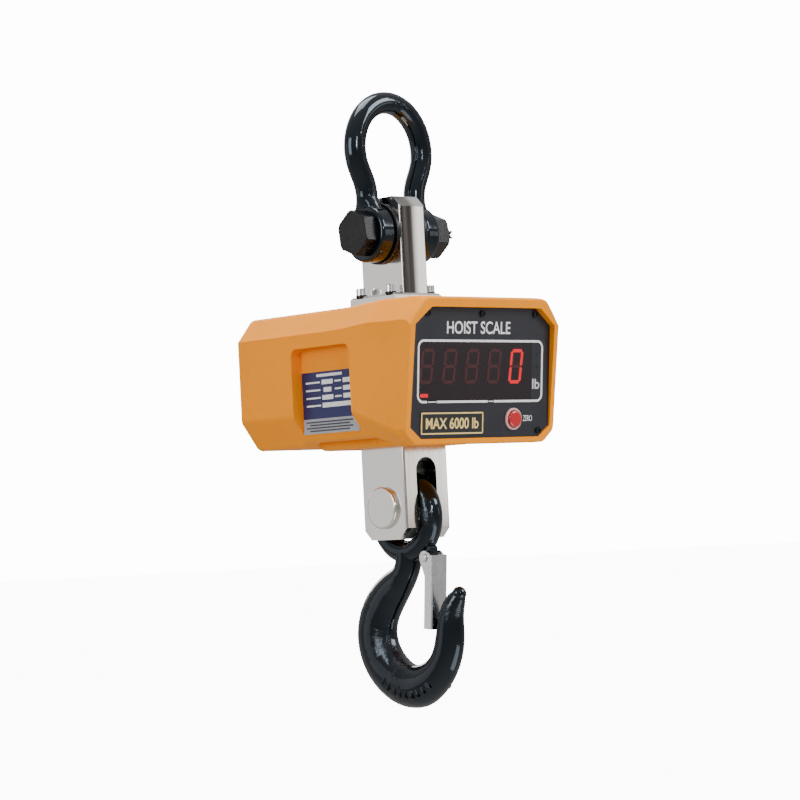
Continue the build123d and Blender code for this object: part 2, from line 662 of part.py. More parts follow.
def block_around(pocket, side):
    """The pocket moved inwards and widened by the wall on its other faces."""
    box = pocket.bounding_box()
    x0, x1 = sorted((side * (half_width - POCKET_DEPTH - WALL), side * (half_width + 20)))
    return block(x0, x1, box.min.Y - WALL, box.max.Y + WALL, box.min.Z, box.max.Z + WALL)


def rear_prism(grow, y0, y1):
    """The rear cover's outline as a slab along Y."""
    form = block(-COVER_X / 2 - grow, COVER_X / 2 + grow, y0, y1,
                 middle - COVER_Z / 2 - grow, middle + COVER_Z / 2 + grow)
    return fillet(form.edges().filter_by(Axis.Y), COVER_CORNER + grow)


# --- display ------------------------------------------------------------------
def panel_screw_spots():
    top = PANEL_UP - PANEL_SCREW_IN
    side = PANEL_HALF_W - PANEL_SCREW_SIDE
    low = (PANEL_HALF_W - PANEL_SCREW_LOW, -PANEL_DOWN + PANEL_SCREW_IN)
    return [(-side, top), (0, top), (side, top), low]


def display_panel():
    plate = panel_prism(0, 0, -PANEL_T)
    plate = plate - panel_block(WINDOW_W + 0.2, WINDOW_H + 0.2, 1, -PANEL_T - 1, WINDOW_X, 0)
    plate = plate - panel_rod(BUTTON_CAP_D / 2 + MOVE_GAP, 1, -PANEL_T - 1, BUTTON_X, BUTTON_Z)
    for x, h in panel_screw_spots():
        plate = plate - panel_rod(PANEL_SCREW_D / 2 + HOLE_PLAY, 1, -PANEL_T - 1, x, h)
    return plate


def front_gasket():
    back = -PANEL_T - GASKET_T + 0.02
    ring = panel_prism(-0.3, -PANEL_T - 0.02, back) - panel_prism(-LEDGE_W + 1.5, 0, back - 1)
    for x, h in panel_screw_spots():
        ring = ring - panel_rod(PANEL_SCREW_D / 2 + HOLE_PLAY, 1, back - 1, x, h)
    return ring


def panel_screws():
    screws = []
    for x, h in panel_screw_spots():
        head = panel_rod(PANEL_HEAD_D / 2, PANEL_HEAD_T + SEAT_GAP, SEAT_GAP, x, h)
        slot = panel_block(PANEL_HEAD_D * 0.7, PANEL_HEAD_D / 6, PANEL_HEAD_T + 1, PANEL_HEAD_T / 2, x, h)
        cross = panel_block(PANEL_HEAD_D / 6, PANEL_HEAD_D * 0.7, PANEL_HEAD_T + 1, PANEL_HEAD_T / 2, x, h)
        shank = panel_rod(PANEL_SCREW_D / 2, PANEL_HEAD_T / 4, -PANEL_SCREW_L, x, h)
        screws.append(head - slot - cross + shank)
    return group(screws)


def display_window():
    return panel_block(WINDOW_W, WINDOW_H, -0.1, -WINDOW_T, WINDOW_X, 0)


def digit_modules():
    front = -WINDOW_T - DIGIT_GAP
    modules = []
    for index in range(DIGIT_COUNT):
        x = DIGIT_X0 + index * DIGIT_PITCH
        modules.append(panel_block(DIGIT_W, DIGIT_H, front, front - DIGIT_T, x, DIGIT_Z))
    return group(modules)


def board_front():
    return -WINDOW_T - DIGIT_GAP - DIGIT_T - SEAT_GAP


def display_board():
    front = board_front()
    board = panel_block(BOARD_W, BOARD_H, front, front - BOARD_T, 0, 0)
    for x, h in corners(BOARD_W / 2 - POST_IN, BOARD_H / 2 - POST_IN):
        board = board - panel_rod(POST_HOLE_D / 2, front + 1, front - BOARD_T - 1, x, h)
    return board


def board_standoffs():
    front = board_front()
    posts = []
    for x, h in corners(BOARD_W / 2 - POST_IN, BOARD_H / 2 - POST_IN):
        posts.append(panel_rod(POST_D / 2, -PANEL_T - SEAT_GAP, front + SEAT_GAP, x, h))
    return group(posts)


def indicator_led():
    front = -WINDOW_T - DIGIT_GAP
    return panel_rod(INDICATOR_D / 2, front, front - DIGIT_T, INDICATOR_X, INDICATOR_Z)


def zero_button_ring():
    ring = panel_rod(BUTTON_RING_D / 2, BUTTON_RING_T, SEAT_GAP, BUTTON_X, BUTTON_Z)
    ring = fillet(ring.edges().filter_by(GeomType.CIRCLE).sort_by(Axis.Y)[0], 0.7)
    return ring - panel_rod(BUTTON_CAP_D / 2 + MOVE_GAP, BUTTON_RING_T + 1, -1, BUTTON_X, BUTTON_Z)


def button_base():
    """Height of the cap's underside over the panel's face."""
    return -PANEL_T + MOVE_GAP


def zero_button_cap():
    base = button_base()
    cap = panel_rod(BUTTON_CAP_D / 2, BUTTON_PROUD, base, BUTTON_X, BUTTON_Z)
    cap = fillet(cap.edges().filter_by(GeomType.CIRCLE).sort_by(Axis.Y)[0], 1.8)
    return cap + panel_rod(BUTTON_STEM_D / 2, base + 1, base - BUTTON_STEM_L, BUTTON_X, BUTTON_Z)


def zero_switch():
    top = button_base() - BUTTON_STEM_L - BUTTON_TRAVEL - MOVE_GAP
    return panel_block(KEY_SWITCH, KEY_SWITCH, top, board_front() + SEAT_GAP, BUTTON_X, BUTTON_Z)


def capacity_plate():
    return panel_block(BADGE_W, BADGE_H, SEAT_GAP + BADGE_T, SEAT_GAP, BADGE_X, BADGE_Z)


def rating_labels():
    """A printed plate in each side pocket."""
    floor = half_width - POCKET_DEPTH + SEAT_GAP
    pieces = []
    for side in (-1, 1):
        x0, x1 = sorted((side * floor, side * (floor + LABEL_T)))
        pieces.append(block(x0, x1, LABEL_FRONT, LABEL_REAR, label_low(), label_low() + LABEL_H))
    return group(pieces)


def label_low():
    slope = LOW_CHAMFER_Z / LOW_CHAMFER_X
    return housing_low + LOW_CHAMFER_Z - POCKET_DEPTH * slope + LABEL_LIFT


# --- lower end ----------------------------------------------------------------
def hook_station(y, z, heading, across_x, width):
    """An oval section of the hook, square to its heading in the YZ plane."""
    direction = (0, cos(radians(heading)), sin(radians(heading)))
    return Plane(origin=(0, y, z), x_dir=(1, 0, 0), z_dir=direction) * Ellipse(across_x / 2, width / 2)


def eye_hook():
    ring = Pos(0, 0, ring_z) * Rot(0, 90, 0) * Torus(RING_CENTRE_R, RING_BAR_D / 2)
    throat_z = pin_z - SADDLE_DROP + (BACK_LIMB_Y - BACK_LIMB_W / 2 - THROAT_Y)
    bowl = HOOK_BOTTOM - SADDLE_DROP
    bowl_z = pin_z - (SADDLE_DROP + HOOK_BOTTOM) / 2
    neck_z = ring_z - RING_CENTRE_R
    tip_z = pin_z - TIP_DROP - TIP_D / 2
    stations = [
        (0, neck_z, -90, NECK_D, NECK_D),
        (3, neck_z - 14, -72, NECK_D, NECK_D * 1.08),
        (25, neck_z - 35, -42, 25, 35),
        (BACK_LIMB_Y, throat_z, -90, BACK_LIMB_X, BACK_LIMB_W),
        (33.0, bowl_z + 16, -139, BACK_LIMB_X + 1, BACK_LIMB_W),
        (THROAT_Y, bowl_z, -180, BACK_LIMB_X, bowl),
        (-36, bowl_z + 17, -228, 25, 29),
        (TIP_LIMB_Y, throat_z, -268, TIP_LIMB_X, TIP_LIMB_W),
        (-51.3, throat_z + 18, -254, 20, 21),
        (-56.5, throat_z + 27.5, -241, 16, 17.5),
        (TIP_END_Y, tip_z, -240, TIP_D * 0.9, TIP_D * 0.9),
    ]
    body = loft([hook_station(*s) for s in stations])
    tip = Pos(0, TIP_END_Y, tip_z) * Sphere(TIP_D / 2)
    half = LUG_X / 2
    lug = rod_x(LUG_D / 2, -half, half, LATCH_PIVOT_Y, latch_z)
    horn = block(-half, half, HORN_FRONT, 0, latch_z - LUG_D / 4, latch_z + HORN_UP)
    horn = fillet(horn.edges().filter_by(Axis.X), LUG_X / 5)
    hook = ring + body + tip + lug + horn
    return hook - rod_x(LATCH_BOLT_D / 2 + SEAT_GAP, -LUG_X, LUG_X, LATCH_PIVOT_Y, latch_z)


def flange_outline():
    """One flange of the latch from its side, about the pivot: Y across, Z up."""
    eye_r = LATCH_EYE_D / 2
    rear = LATCH_FLANGE - LATCH_FRONT
    points = [(-LATCH_FRONT, LATCH_ABOVE), (-eye_r / 2, LATCH_ABOVE), (0, eye_r), (eye_r, 0),
              (eye_r * 0.9, -eye_r / 2), (rear, -LATCH_WIDE), (rear, -LATCH_LENGTH), (-LATCH_FRONT, -LATCH_LENGTH)]
    return Plane.YZ * (make_face(Polyline(points + points[:1])) + Circle(eye_r))


def hook_latch():
    half = LATCH_X / 2
    inner = half - LATCH_SHEET
    channel = extrude(Pos(-half, 0, 0) * flange_outline(), LATCH_X)
    front = channel.edges().filter_by(Axis.Z).group_by(Axis.Y)[0]
    channel = fillet(front, LATCH_SHEET)
    channel = channel - block(-inner, inner, -LATCH_FRONT + LATCH_SHEET, LATCH_EYE_D, -LATCH_LENGTH - 1,
                              LATCH_EYE_D)
    channel = channel - rod_x(LATCH_BOLT_D / 2 + RUN_FIT, -half - 1, half + 1)
    return Pos(0, LATCH_PIVOT_Y, latch_z) * Rot(LATCH_LEAN, 0, 0) * channel


def latch_bolt():
    seat = -LATCH_X / 2 - MOVE_GAP
    head = rod_x(LATCH_HEAD_D / 2, seat - LATCH_HEAD_T, seat, LATCH_PIVOT_Y, latch_z)
    head = fillet(head.edges().filter_by(GeomType.CIRCLE).sort_by(Axis.X)[0], LATCH_HEAD_T / 2)
    end = LATCH_X / 2 + MOVE_GAP + LATCH_NUT_T + 0.5
    return head + rod_x(LATCH_BOLT_D / 2, seat - 0.5, end, LATCH_PIVOT_Y, latch_z)


def latch_nut():
    x0 = LATCH_X / 2 + MOVE_GAP
    sketch = Plane(origin=(x0, LATCH_PIVOT_Y, latch_z), x_dir=(0, 1, 0), z_dir=(1, 0, 0))
    nut = extrude(sketch * RegularPolygon(LATCH_NUT_FLATS / 2, 6, major_radius=False), LATCH_NUT_T)
    return nut - rod_x(LATCH_BOLT_D / 2 + SEAT_GAP, x0 - 1, x0 + LATCH_NUT_T + 1, LATCH_PIVOT_Y, latch_z)


def latch_spring():
    """Two coils on each side of the lug."""
    coils = []
    for side in (-1, 1):
        for turn in (0.9, 2.0):
            coil = Rot(0, 90, 0) * Torus(SPRING_COIL_D / 2, SPRING_WIRE_D / 2)
            coils.append(Pos(side * (LUG_X / 2 + turn * SPRING_WIRE_D), LATCH_PIVOT_Y, latch_z) * coil)
    return group(coils)


# --- inside and rear ----------------------------------------------------------
def battery_y():
    return HOUSING_REAR - COVER_T - GASKET_T - PACK_GAP


def battery_pack():
    y1 = battery_y()
    case = block(-PACK_X / 2, PACK_X / 2, y1 - PACK_Y, y1, middle - PACK_Z / 2, middle + PACK_Z / 2)
    return fillet(case.edges().filter_by(Axis.X), 3)


def battery_tray():
    y0 = battery_y() - PACK_Y - MOVE_GAP
    y1 = battery_y() + TRAY_WALL
    low = middle - PACK_Z / 2 - MOVE_GAP
    half = PACK_X / 2 + MOVE_GAP
    wall = TRAY_WALL
    tray = block(-half - wall, half + wall, y0 - wall, y1, low - wall, low + TRAY_DEEP)
    return tray - block(-half, half, y0, y1 + 1, low, low + 2 * TRAY_DEEP)


def main_board():
    y = BLOCK_Y / 2 + MAIN_BOARD_GAP
    half_x, half_z = MAIN_BOARD_X / 2, MAIN_BOARD_Z / 2
    board = block(-half_x, half_x, y, y + BOARD_T, middle - half_z, middle + half_z)
    for x, z in corners(half_x - POST_IN, half_z - POST_IN):
        board = board - rod_y(POST_HOLE_D / 2, y - 1, y + BOARD_T + 1, x, middle + z)
    processor = block(-half_x / 2, -half_x / 8, y - BOARD_T, y + BOARD_T / 2, middle, middle + half_z / 2)
    regulator = block(half_x / 8, half_x / 3, y - 5 * BOARD_T, y + BOARD_T / 2, middle - half_z / 2, middle)
    connector = block(half_x / 2, half_x * 0.8, y - 6 * BOARD_T, y + BOARD_T / 2, middle + half_z / 4,
                      middle + half_z * 0.7)
    return board + processor + regulator + connector


def main_board_posts():
    y = BLOCK_Y / 2 + MAIN_BOARD_GAP + BOARD_T + SEAT_GAP
    end = battery_y() - PACK_Y - MOVE_GAP - TRAY_WALL
    spots = corners(MAIN_BOARD_X / 2 - POST_IN, MAIN_BOARD_Z / 2 - POST_IN)
    return group([rod_y(POST_D / 2, y, end, x, middle + z) for x, z in spots])


def rear_cover():
    plate = rear_prism(0, HOUSING_REAR - COVER_T, HOUSING_REAR + COVER_PROUD)
    plate = chamfer(plate.edges().group_by(Axis.Y)[-1], 0.8)
    for x, z in corners(COVER_X / 2 - COVER_SCREW_IN, COVER_Z / 2 - COVER_SCREW_IN):
        plate = plate - rod_y(COVER_SCREW_D / 2 + HOLE_PLAY, 0, 200, x, middle + z)
    plate = plate - block(switch_x() - SWITCH_X / 2, switch_x() + SWITCH_X / 2, 0, 200,
                          middle - SWITCH_Z / 2, middle + SWITCH_Z / 2)
    return plate - rod_y(SOCKET_D / 2, 0, 200, -switch_x(), middle)


def switch_x():
    return COVER_X / 4


def rear_gasket():
    y1 = HOUSING_REAR - COVER_T - 0.02
    y0 = y1 - GASKET_T + 0.04
    ring = rear_prism(-0.3, y0, y1) - rear_prism(-LEDGE_W + 1.5, y0 - 1, y1 + 1)
    for x, z in corners(COVER_X / 2 - COVER_SCREW_IN, COVER_Z / 2 - COVER_SCREW_IN):
        ring = ring - rod_y(COVER_SCREW_D / 2 + HOLE_PLAY, 0, 200, x, middle + z)
    return ring


def rear_screws():
    y = HOUSING_REAR + COVER_PROUD + SEAT_GAP
    screws = []
    for x, z in corners(COVER_X / 2 - COVER_SCREW_IN, COVER_Z / 2 - COVER_SCREW_IN):
        head = rod_y(COVER_HEAD_D / 2, y, y + COVER_HEAD_T, x, middle + z)
        head = chamfer(head.edges().filter_by(GeomType.CIRCLE).sort_by(Axis.Y)[-1], COVER_HEAD_T / 4)
        long, short = COVER_HEAD_D / 3, COVER_HEAD_D / 14
        floor = y + COVER_HEAD_T / 2
        cross = block(x - long, x + long, floor, y + 4, middle + z - short, middle + z + short)
        cross = cross + block(x - short, x + short, floor, y + 4, middle + z - long, middle + z + long)
        shank = rod_y(COVER_SCREW_D / 2, y - COVER_T - 2 * COVER_PROUD, y + COVER_HEAD_T / 4, x, middle + z)
        screws.append(head - cross + shank)
    return group(screws)


def switch_opening():
    """Half sizes of the hole in the switch frame."""
    return SWITCH_X / 2 - SWITCH_RIM, SWITCH_Z / 2 - SWITCH_LIP


def power_switch_frame():
    x = switch_x()
    y0 = HOUSING_REAR - COVER_T - COVER_PROUD
    y1 = HOUSING_REAR + COVER_PROUD + SEAT_GAP
    w = SWITCH_X / 2 - 2 * SEAT_GAP
    h = SWITCH_Z / 2 - 2 * SEAT_GAP
    inner_w, inner_h = switch_opening()
    frame = block(x - w, x + w, y0, y1 + SWITCH_LIP, middle - h, middle + h)
    frame = frame + block(x - w - SWITCH_RIM, x + w + SWITCH_RIM, y1, y1 + SWITCH_LIP, middle - h - SWITCH_RIM,
                          middle + h + SWITCH_RIM)
    return frame - block(x - inner_w, x + inner_w, y0 + SWITCH_LIP, y1 + 5, middle - inner_h, middle + inner_h)


def power_switch_rocker():
    """A rocker with a hollow top; it turns about a line along Z."""
    x = switch_x()
    inner_w, inner_h = switch_opening()
    w = inner_w - MOVE_GAP
    h = inner_h - MOVE_GAP
    y = HOUSING_REAR + SWITCH_RIM / 2
    rocker = rod_z(w - 2 * SEAT_GAP, middle - h, middle + h, x, y - w / 2)
    keep = block(x - w, x + w, y - 2 * SWITCH_LIP, y + SWITCH_X, middle - h, middle + h)
    dip = rod_z(w * 2.2, middle - h - 1, middle + h + 1, x, y + w * 2.2 + SWITCH_LIP)
    return (rocker & keep) - dip


def charging_socket():
    y0 = HOUSING_REAR - 2 * COVER_T
    y1 = HOUSING_REAR + COVER_PROUD + SEAT_GAP
    body = rod_y(SOCKET_D / 2 - 2 * SEAT_GAP, y0, y1 + SOCKET_LIP_T / 2, -switch_x(), middle)
    body = body + rod_y(SOCKET_D / 2 + SOCKET_LIP, y1, y1 + SOCKET_LIP_T, -switch_x(), middle)
    return body - rod_y(SOCKET_BORE_D / 2, y0 + SOCKET_LIP_T, y1 + 5, -switch_x(), middle)


def socket_plug():
    """A rubber dust plug pushed into the charging socket."""
    y1 = HOUSING_REAR + COVER_PROUD + 2 * SEAT_GAP + SOCKET_LIP_T
    plug = rod_y(SOCKET_BORE_D / 2 - SEAT_GAP, y1 - 3 * SOCKET_LIP_T, y1 + SEAT_GAP, -switch_x(), middle)
    cap = rod_y(SOCKET_D / 2 + SOCKET_LIP, y1, y1 + SOCKET_LIP_T, -switch_x(), middle)
    cap = fillet(cap.edges().filter_by(GeomType.CIRCLE).sort_by(Axis.Y)[-1], SOCKET_LIP_T / 2)
    return plug + cap


PARTS = [bow_shackle, shackle_bolt, shackle_nut, split_pin, shackle_spacers, upper_eye_block, top_plate,
         top_plate_washers, top_plate_screws, load_cell, load_cell_studs, lower_clevis_block, clevis_pin,
         pin_retaining_ring, housing_shell, display_panel, front_gasket, panel_screws, display_window,
         digit_modules, display_board, board_standoffs, indicator_led, zero_button_ring, zero_button_cap,
         zero_switch, capacity_plate, rating_labels, eye_hook, hook_latch, latch_bolt, latch_nut,
         latch_spring, battery_pack, battery_tray, main_board, main_board_posts, rear_cover, rear_gasket,
         rear_screws, power_switch_frame, power_switch_rocker, charging_socket, socket_plug]

os.makedirs("parts", exist_ok=True)
for build in PARTS:
    export_step(build(), os.path.join("parts", build.__name__ + ".step"))
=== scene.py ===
from math import cos, radians, sin, tan

import bpy
from mathutils import Matrix, Vector


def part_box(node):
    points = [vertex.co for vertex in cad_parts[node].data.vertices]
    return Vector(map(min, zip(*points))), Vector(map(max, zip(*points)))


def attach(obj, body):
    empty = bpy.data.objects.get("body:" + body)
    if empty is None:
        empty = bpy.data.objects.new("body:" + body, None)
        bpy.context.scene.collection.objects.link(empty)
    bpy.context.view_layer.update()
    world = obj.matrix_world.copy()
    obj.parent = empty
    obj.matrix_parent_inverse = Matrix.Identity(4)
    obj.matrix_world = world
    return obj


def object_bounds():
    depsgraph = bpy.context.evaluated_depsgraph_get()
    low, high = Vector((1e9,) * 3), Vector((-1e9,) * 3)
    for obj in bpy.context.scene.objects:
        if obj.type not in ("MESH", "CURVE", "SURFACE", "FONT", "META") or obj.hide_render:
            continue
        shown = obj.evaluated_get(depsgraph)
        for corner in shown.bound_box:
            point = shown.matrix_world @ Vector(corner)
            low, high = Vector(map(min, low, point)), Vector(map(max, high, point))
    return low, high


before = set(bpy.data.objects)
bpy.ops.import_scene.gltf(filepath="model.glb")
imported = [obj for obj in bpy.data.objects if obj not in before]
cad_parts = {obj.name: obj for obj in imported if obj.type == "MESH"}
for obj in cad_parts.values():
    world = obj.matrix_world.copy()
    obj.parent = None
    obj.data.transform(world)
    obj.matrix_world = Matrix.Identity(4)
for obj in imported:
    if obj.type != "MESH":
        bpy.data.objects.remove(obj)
cad_low, cad_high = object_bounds()

bl_info = {
    "name": "Crane Scale",
    "version": (1, 0, 0),
    "blender": (4, 5, 0),
    "location": "3D View > Sidebar > Crane Scale",
    "description": "Finishes, printing and studio for a hanging crane scale",
    "category": "Object",
}

MM = 0.001
DIGITS = 5
MARKS = 9
MARK_STEP = radians(10)
MARK_FIRST = radians(-36)
PANEL_PROUD = 0.15 * MM      # the panel's face over the window's
window_low, window_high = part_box("display_window")
label_low, label_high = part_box("rating_labels")
badge_low, badge_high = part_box("capacity_plate")


# --- what a user would change ---------------------------------------------------
class CraneStage(bpy.types.PropertyGroup):
    azimuth: bpy.props.FloatProperty(name="Azimuth", description="Camera round the object, from the front",
                                     default=radians(-42.097), subtype="ANGLE", unit="ROTATION")
    elevation: bpy.props.FloatProperty(name="Elevation", description="Camera above the aim point",
                                       default=radians(-2.459), subtype="ANGLE", unit="ROTATION")
    roll: bpy.props.FloatProperty(name="Roll", description="Camera turned about its own axis",
                                  default=radians(2.893), subtype="ANGLE", unit="ROTATION")
    distance: bpy.props.FloatProperty(name="Distance", description="Camera from the aim point",
                                      default=2.38419, unit="LENGTH")
    lens: bpy.props.FloatProperty(name="Lens", description="Focal length in millimetres", default=124.48)
    aim: bpy.props.FloatVectorProperty(name="Aim", description="Point the camera looks at",
                                       default=(-0.00057, 0.00052, -0.24824), subtype="TRANSLATION",
                                       unit="LENGTH")
    floor_drop: bpy.props.FloatProperty(name="Floor drop", description="Floor below the hook",
                                        default=1.1, unit="LENGTH")
    floor_colour: bpy.props.FloatVectorProperty(name="Floor", description="Floor colour", size=3,
                                                default=(0.93, 0.93, 0.93), subtype="COLOR")


class CraneFinishes(bpy.types.PropertyGroup):
    paint: bpy.props.FloatVectorProperty(name="Housing paint", description="Colour of the housing", size=3,
                                         default=(0.93, 0.295, 0.0), subtype="COLOR")
    enamel: bpy.props.FloatVectorProperty(name="Enamel", description="Colour of the shackle and hook", size=3,
                                          default=(0.0016, 0.0024, 0.004), subtype="COLOR")
    nickel: bpy.props.FloatVectorProperty(name="Nickel", description="Colour of the load blocks", size=3,
                                          default=(0.82, 0.79, 0.745), subtype="COLOR")
    zinc: bpy.props.FloatVectorProperty(name="Zinc", description="Colour of plated small parts", size=3,
                                        default=(0.82, 0.82, 0.83), subtype="COLOR")
    panel: bpy.props.FloatVectorProperty(name="Panel", description="Colour of the front panel", size=3,
                                         default=(0.012, 0.0125, 0.018), subtype="COLOR")
    button: bpy.props.FloatVectorProperty(name="Button", description="Colour of the button", size=3,
                                          default=(0.5, 0.004, 0.01), subtype="COLOR")
    glow: bpy.props.FloatVectorProperty(name="Lit segments", description="Colour of the lit digit", size=3,
                                        default=(0.9, 0.004, 0.012), subtype="COLOR")
    label: bpy.props.FloatVectorProperty(name="Label", description="Colour of the rating labels", size=3,
                                         default=(0.007, 0.01, 0.085), subtype="COLOR")


class CranePrint(bpy.types.PropertyGroup):
    tilt: bpy.props.FloatProperty(name="Panel tilt", description="Top of the panel leans forward",
                                  default=radians(5.8), subtype="ANGLE", unit="ROTATION")
    ink: bpy.props.FloatProperty(name="Ink", description="Height of printed lines over their plate",
                                 default=0.06 * MM, unit="LENGTH")
    frame_width: bpy.props.FloatProperty(name="Frame width", description="Outside width of the frame line",
                                         default=144.4 * MM, unit="LENGTH")
    frame_height: bpy.props.FloatProperty(name="Frame height", description="Outside height of the frame line",
                                          default=52.4 * MM, unit="LENGTH")
    line: bpy.props.FloatProperty(name="Line", description="Width of the frame line", default=1.9 * MM,
                                  unit="LENGTH")
    frame_corner: bpy.props.FloatProperty(name="Frame corner", description="Corner radius of the frame line",
                                          default=6.5 * MM, unit="LENGTH")
    digit_width: bpy.props.FloatProperty(name="Digit width", description="Width of a digit",
                                         default=14.8 * MM, unit="LENGTH")
    digit_height: bpy.props.FloatProperty(name="Digit height", description="Height of a digit",
                                          default=29.2 * MM, unit="LENGTH")
    digit_pitch: bpy.props.FloatProperty(name="Digit pitch", description="Distance between digits",
                                         default=25.5 * MM, unit="LENGTH")
    digit_slant: bpy.props.FloatProperty(name="Digit slant", description="Lean of the digits",
                                         default=radians(6.5), subtype="ANGLE", unit="ROTATION")
    segment: bpy.props.FloatProperty(name="Segment", description="Width of a segment", default=2.9 * MM,
                                     unit="LENGTH")
    title: bpy.props.StringProperty(name="Title", description="Word over the display", default="HOIST SCALE")
    button_word: bpy.props.StringProperty(name="Button word", description="Word beside the button",
                                          default="ZERO")
    capacity: bpy.props.StringProperty(name="Capacity", description="Words on the badge",
                                       default="MAX 6000 lb")


# --- modelling helpers ----------------------------------------------------------
def clear_selection():
    if bpy.context.object and bpy.context.object.mode != "OBJECT":
        bpy.ops.object.mode_set(mode="OBJECT")
    bpy.ops.object.select_all(action="DESELECT")


def select_only(*pieces):
    clear_selection()
    for piece in pieces:
        piece.select_set(True)
    bpy.context.view_layer.objects.active = pieces[0]


def tidy_surface(piece):
    """Merge doubled points and turn every face outwards."""
    select_only(piece)
    bpy.ops.object.mode_set(mode="EDIT")
    bpy.ops.mesh.select_all(action="SELECT")
    bpy.ops.mesh.remove_doubles(threshold=0.001 * MM)
    bpy.ops.mesh.normals_make_consistent(inside=False)
    bpy.ops.object.mode_set(mode="OBJECT")


def settle(piece, name, place, body, finish):
    """Move the mesh to its place, name the piece, give it a finish and let it ride on a body."""
    tidy_surface(piece)
    piece.name = name
    piece.data.name = name
    piece.data.transform(place @ piece.matrix_basis)
    piece.matrix_basis = Matrix()
    piece.data.materials.clear()
    piece.data.materials.append(finish)
    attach(piece, body)
    return piece


def flat_bar(width, height, x, y, thick, corner=0.0, steps=4):
    """A thin bar lying in the XY plane, with cut or rounded corners."""
    clear_selection()
    bpy.ops.mesh.primitive_plane_add(size=1, location=(x, y, 0))
    bar = bpy.context.object
    bar.scale = (width, height, 1)
    bpy.ops.object.transform_apply(location=True, rotation=True, scale=True)
    bpy.ops.object.mode_set(mode="EDIT")
    bpy.ops.mesh.select_all(action="SELECT")
    if corner:
        bpy.ops.mesh.bevel(offset=corner, segments=steps, affect="VERTICES")
        bpy.ops.mesh.select_all(action="SELECT")
    bpy.ops.mesh.extrude_region_move(TRANSFORM_OT_translate={"value": (0, 0, thick)})
    bpy.ops.object.mode_set(mode="OBJECT")
    return bar


def flat_frame(width, height, x, y, line, corner, thick, steps=8):
    """A flat outline with rounded corners, lying in the XY plane."""
    clear_selection()
    bpy.ops.mesh.primitive_plane_add(size=1, location=(x, y, 0))
    outline = bpy.context.object
    outline.scale = (width, height, 1)
    bpy.ops.object.transform_apply(location=True, rotation=True, scale=True)
    bpy.ops.object.mode_set(mode="EDIT")
    bpy.ops.mesh.select_all(action="SELECT")
    bpy.ops.mesh.bevel(offset=corner, segments=steps, affect="VERTICES")
    bpy.ops.mesh.select_all(action="SELECT")
    bpy.ops.mesh.inset(thickness=line)
    bpy.ops.mesh.delete(type="FACE")
    bpy.ops.mesh.select_all(action="SELECT")
    bpy.ops.mesh.extrude_region_move(TRANSFORM_OT_translate={"value": (0, 0, thick)})
    bpy.ops.object.mode_set(mode="OBJECT")
    return outline


def words(text, width, height, x, y, thick, weight=0.012):
    """Plain raised words that fill a width and a height, centred in the XY plane."""
    clear_selection()
    bpy.ops.object.text_add()
    lettering = bpy.context.object
    lettering.data.body = text
    lettering.data.offset = weight
    lettering.data.extrude = 0.5
    bpy.ops.object.convert(target="MESH")
    lettering = bpy.context.object
    low = Vector(map(min, *[v.co for v in lettering.data.vertices]))
    high = Vector(map(max, *[v.co for v in lettering.data.vertices]))
    size = high - low
    fit = Matrix.Diagonal((width / size.x, height / size.y, thick / size.z, 1))
    centred = fit @ Matrix.Translation(-(low + high) / 2)
    lettering.data.transform(Matrix.Translation((x, y, thick / 2)) @ centred)
    return lettering


def join(pieces):
    select_only(*pieces)
    bpy.ops.object.join()
    return bpy.context.object


def panel_place(lift):
    """From the panel's own plane, X across and Y up, to the object, lifted off the panel's face."""
    tilt = bpy.context.scene.crane_print.tilt
    normal = Vector((0, -cos(tilt), -sin(tilt)))
    up = Vector((0, -sin(tilt), cos(tilt)))
    thickness = (window_high.y - window_low.y) - (window_high.z - window_low.z) * tan(tilt)
    window_mid = (window_low + window_high) / 2
    centre = window_mid + normal * (thickness / cos(tilt) / 2 + PANEL_PROUD)
    centre.x = 0
    turn = Matrix((Vector((1, 0, 0)), up, normal)).transposed().to_4x4()
    return Matrix.Translation(centre + normal * lift) @ turn


# --- finish helpers -------------------------------------------------------------
def new_finish(name, colour, metallic, roughness):
    finish = bpy.data.materials.new(name)
    finish.use_nodes = True
    shader = finish.node_tree.nodes["Principled BSDF"]
    shader.inputs["Base Color"].default_value = (*colour, 1)
    shader.inputs["Metallic"].default_value = metallic
    shader.inputs["Roughness"].default_value = roughness
    return finish


def shader_of(finish):
    return finish.node_tree.nodes["Principled BSDF"]


def grain(finish, scale, stretch=(1, 1, 1), detail=4.0, roughness=0.5, warp=0.0):
    """Noise on the object's own coordinates; stretch is how fine it is along each axis."""
    nodes, links = finish.node_tree.nodes, finish.node_tree.links
    place = nodes.new("ShaderNodeTexCoord")
    mapping = nodes.new("ShaderNodeMapping")
    mapping.inputs["Scale"].default_value = stretch
    noise = nodes.new("ShaderNodeTexNoise")
    noise.inputs["Scale"].default_value = scale
    noise.inputs["Detail"].default_value = detail
    noise.inputs["Roughness"].default_value = roughness
    noise.inputs["Distortion"].default_value = warp
    links.new(place.outputs["Object"], mapping.inputs["Vector"])
    links.new(mapping.outputs["Vector"], noise.inputs["Vector"])
    return noise.outputs["Fac"]


def spread(finish, value, low, high, to_low=0.0, to_high=1.0):
    """Stretch a value from one range to another, held at both ends."""
    remap = finish.node_tree.nodes.new("ShaderNodeMapRange")
    finish.node_tree.links.new(value, remap.inputs["Value"])
    remap.inputs["From Min"].default_value = low
    remap.inputs["From Max"].default_value = high
    remap.inputs["To Min"].default_value = to_low
    remap.inputs["To Max"].default_value = to_high
    return remap.outputs["Result"]


def times(finish, a, b):
    product = finish.node_tree.nodes.new("ShaderNodeMath")
    product.operation = "MULTIPLY"
    finish.node_tree.links.new(a, product.inputs[0])
    finish.node_tree.links.new(b, product.inputs[1])
    return product.outputs[0]


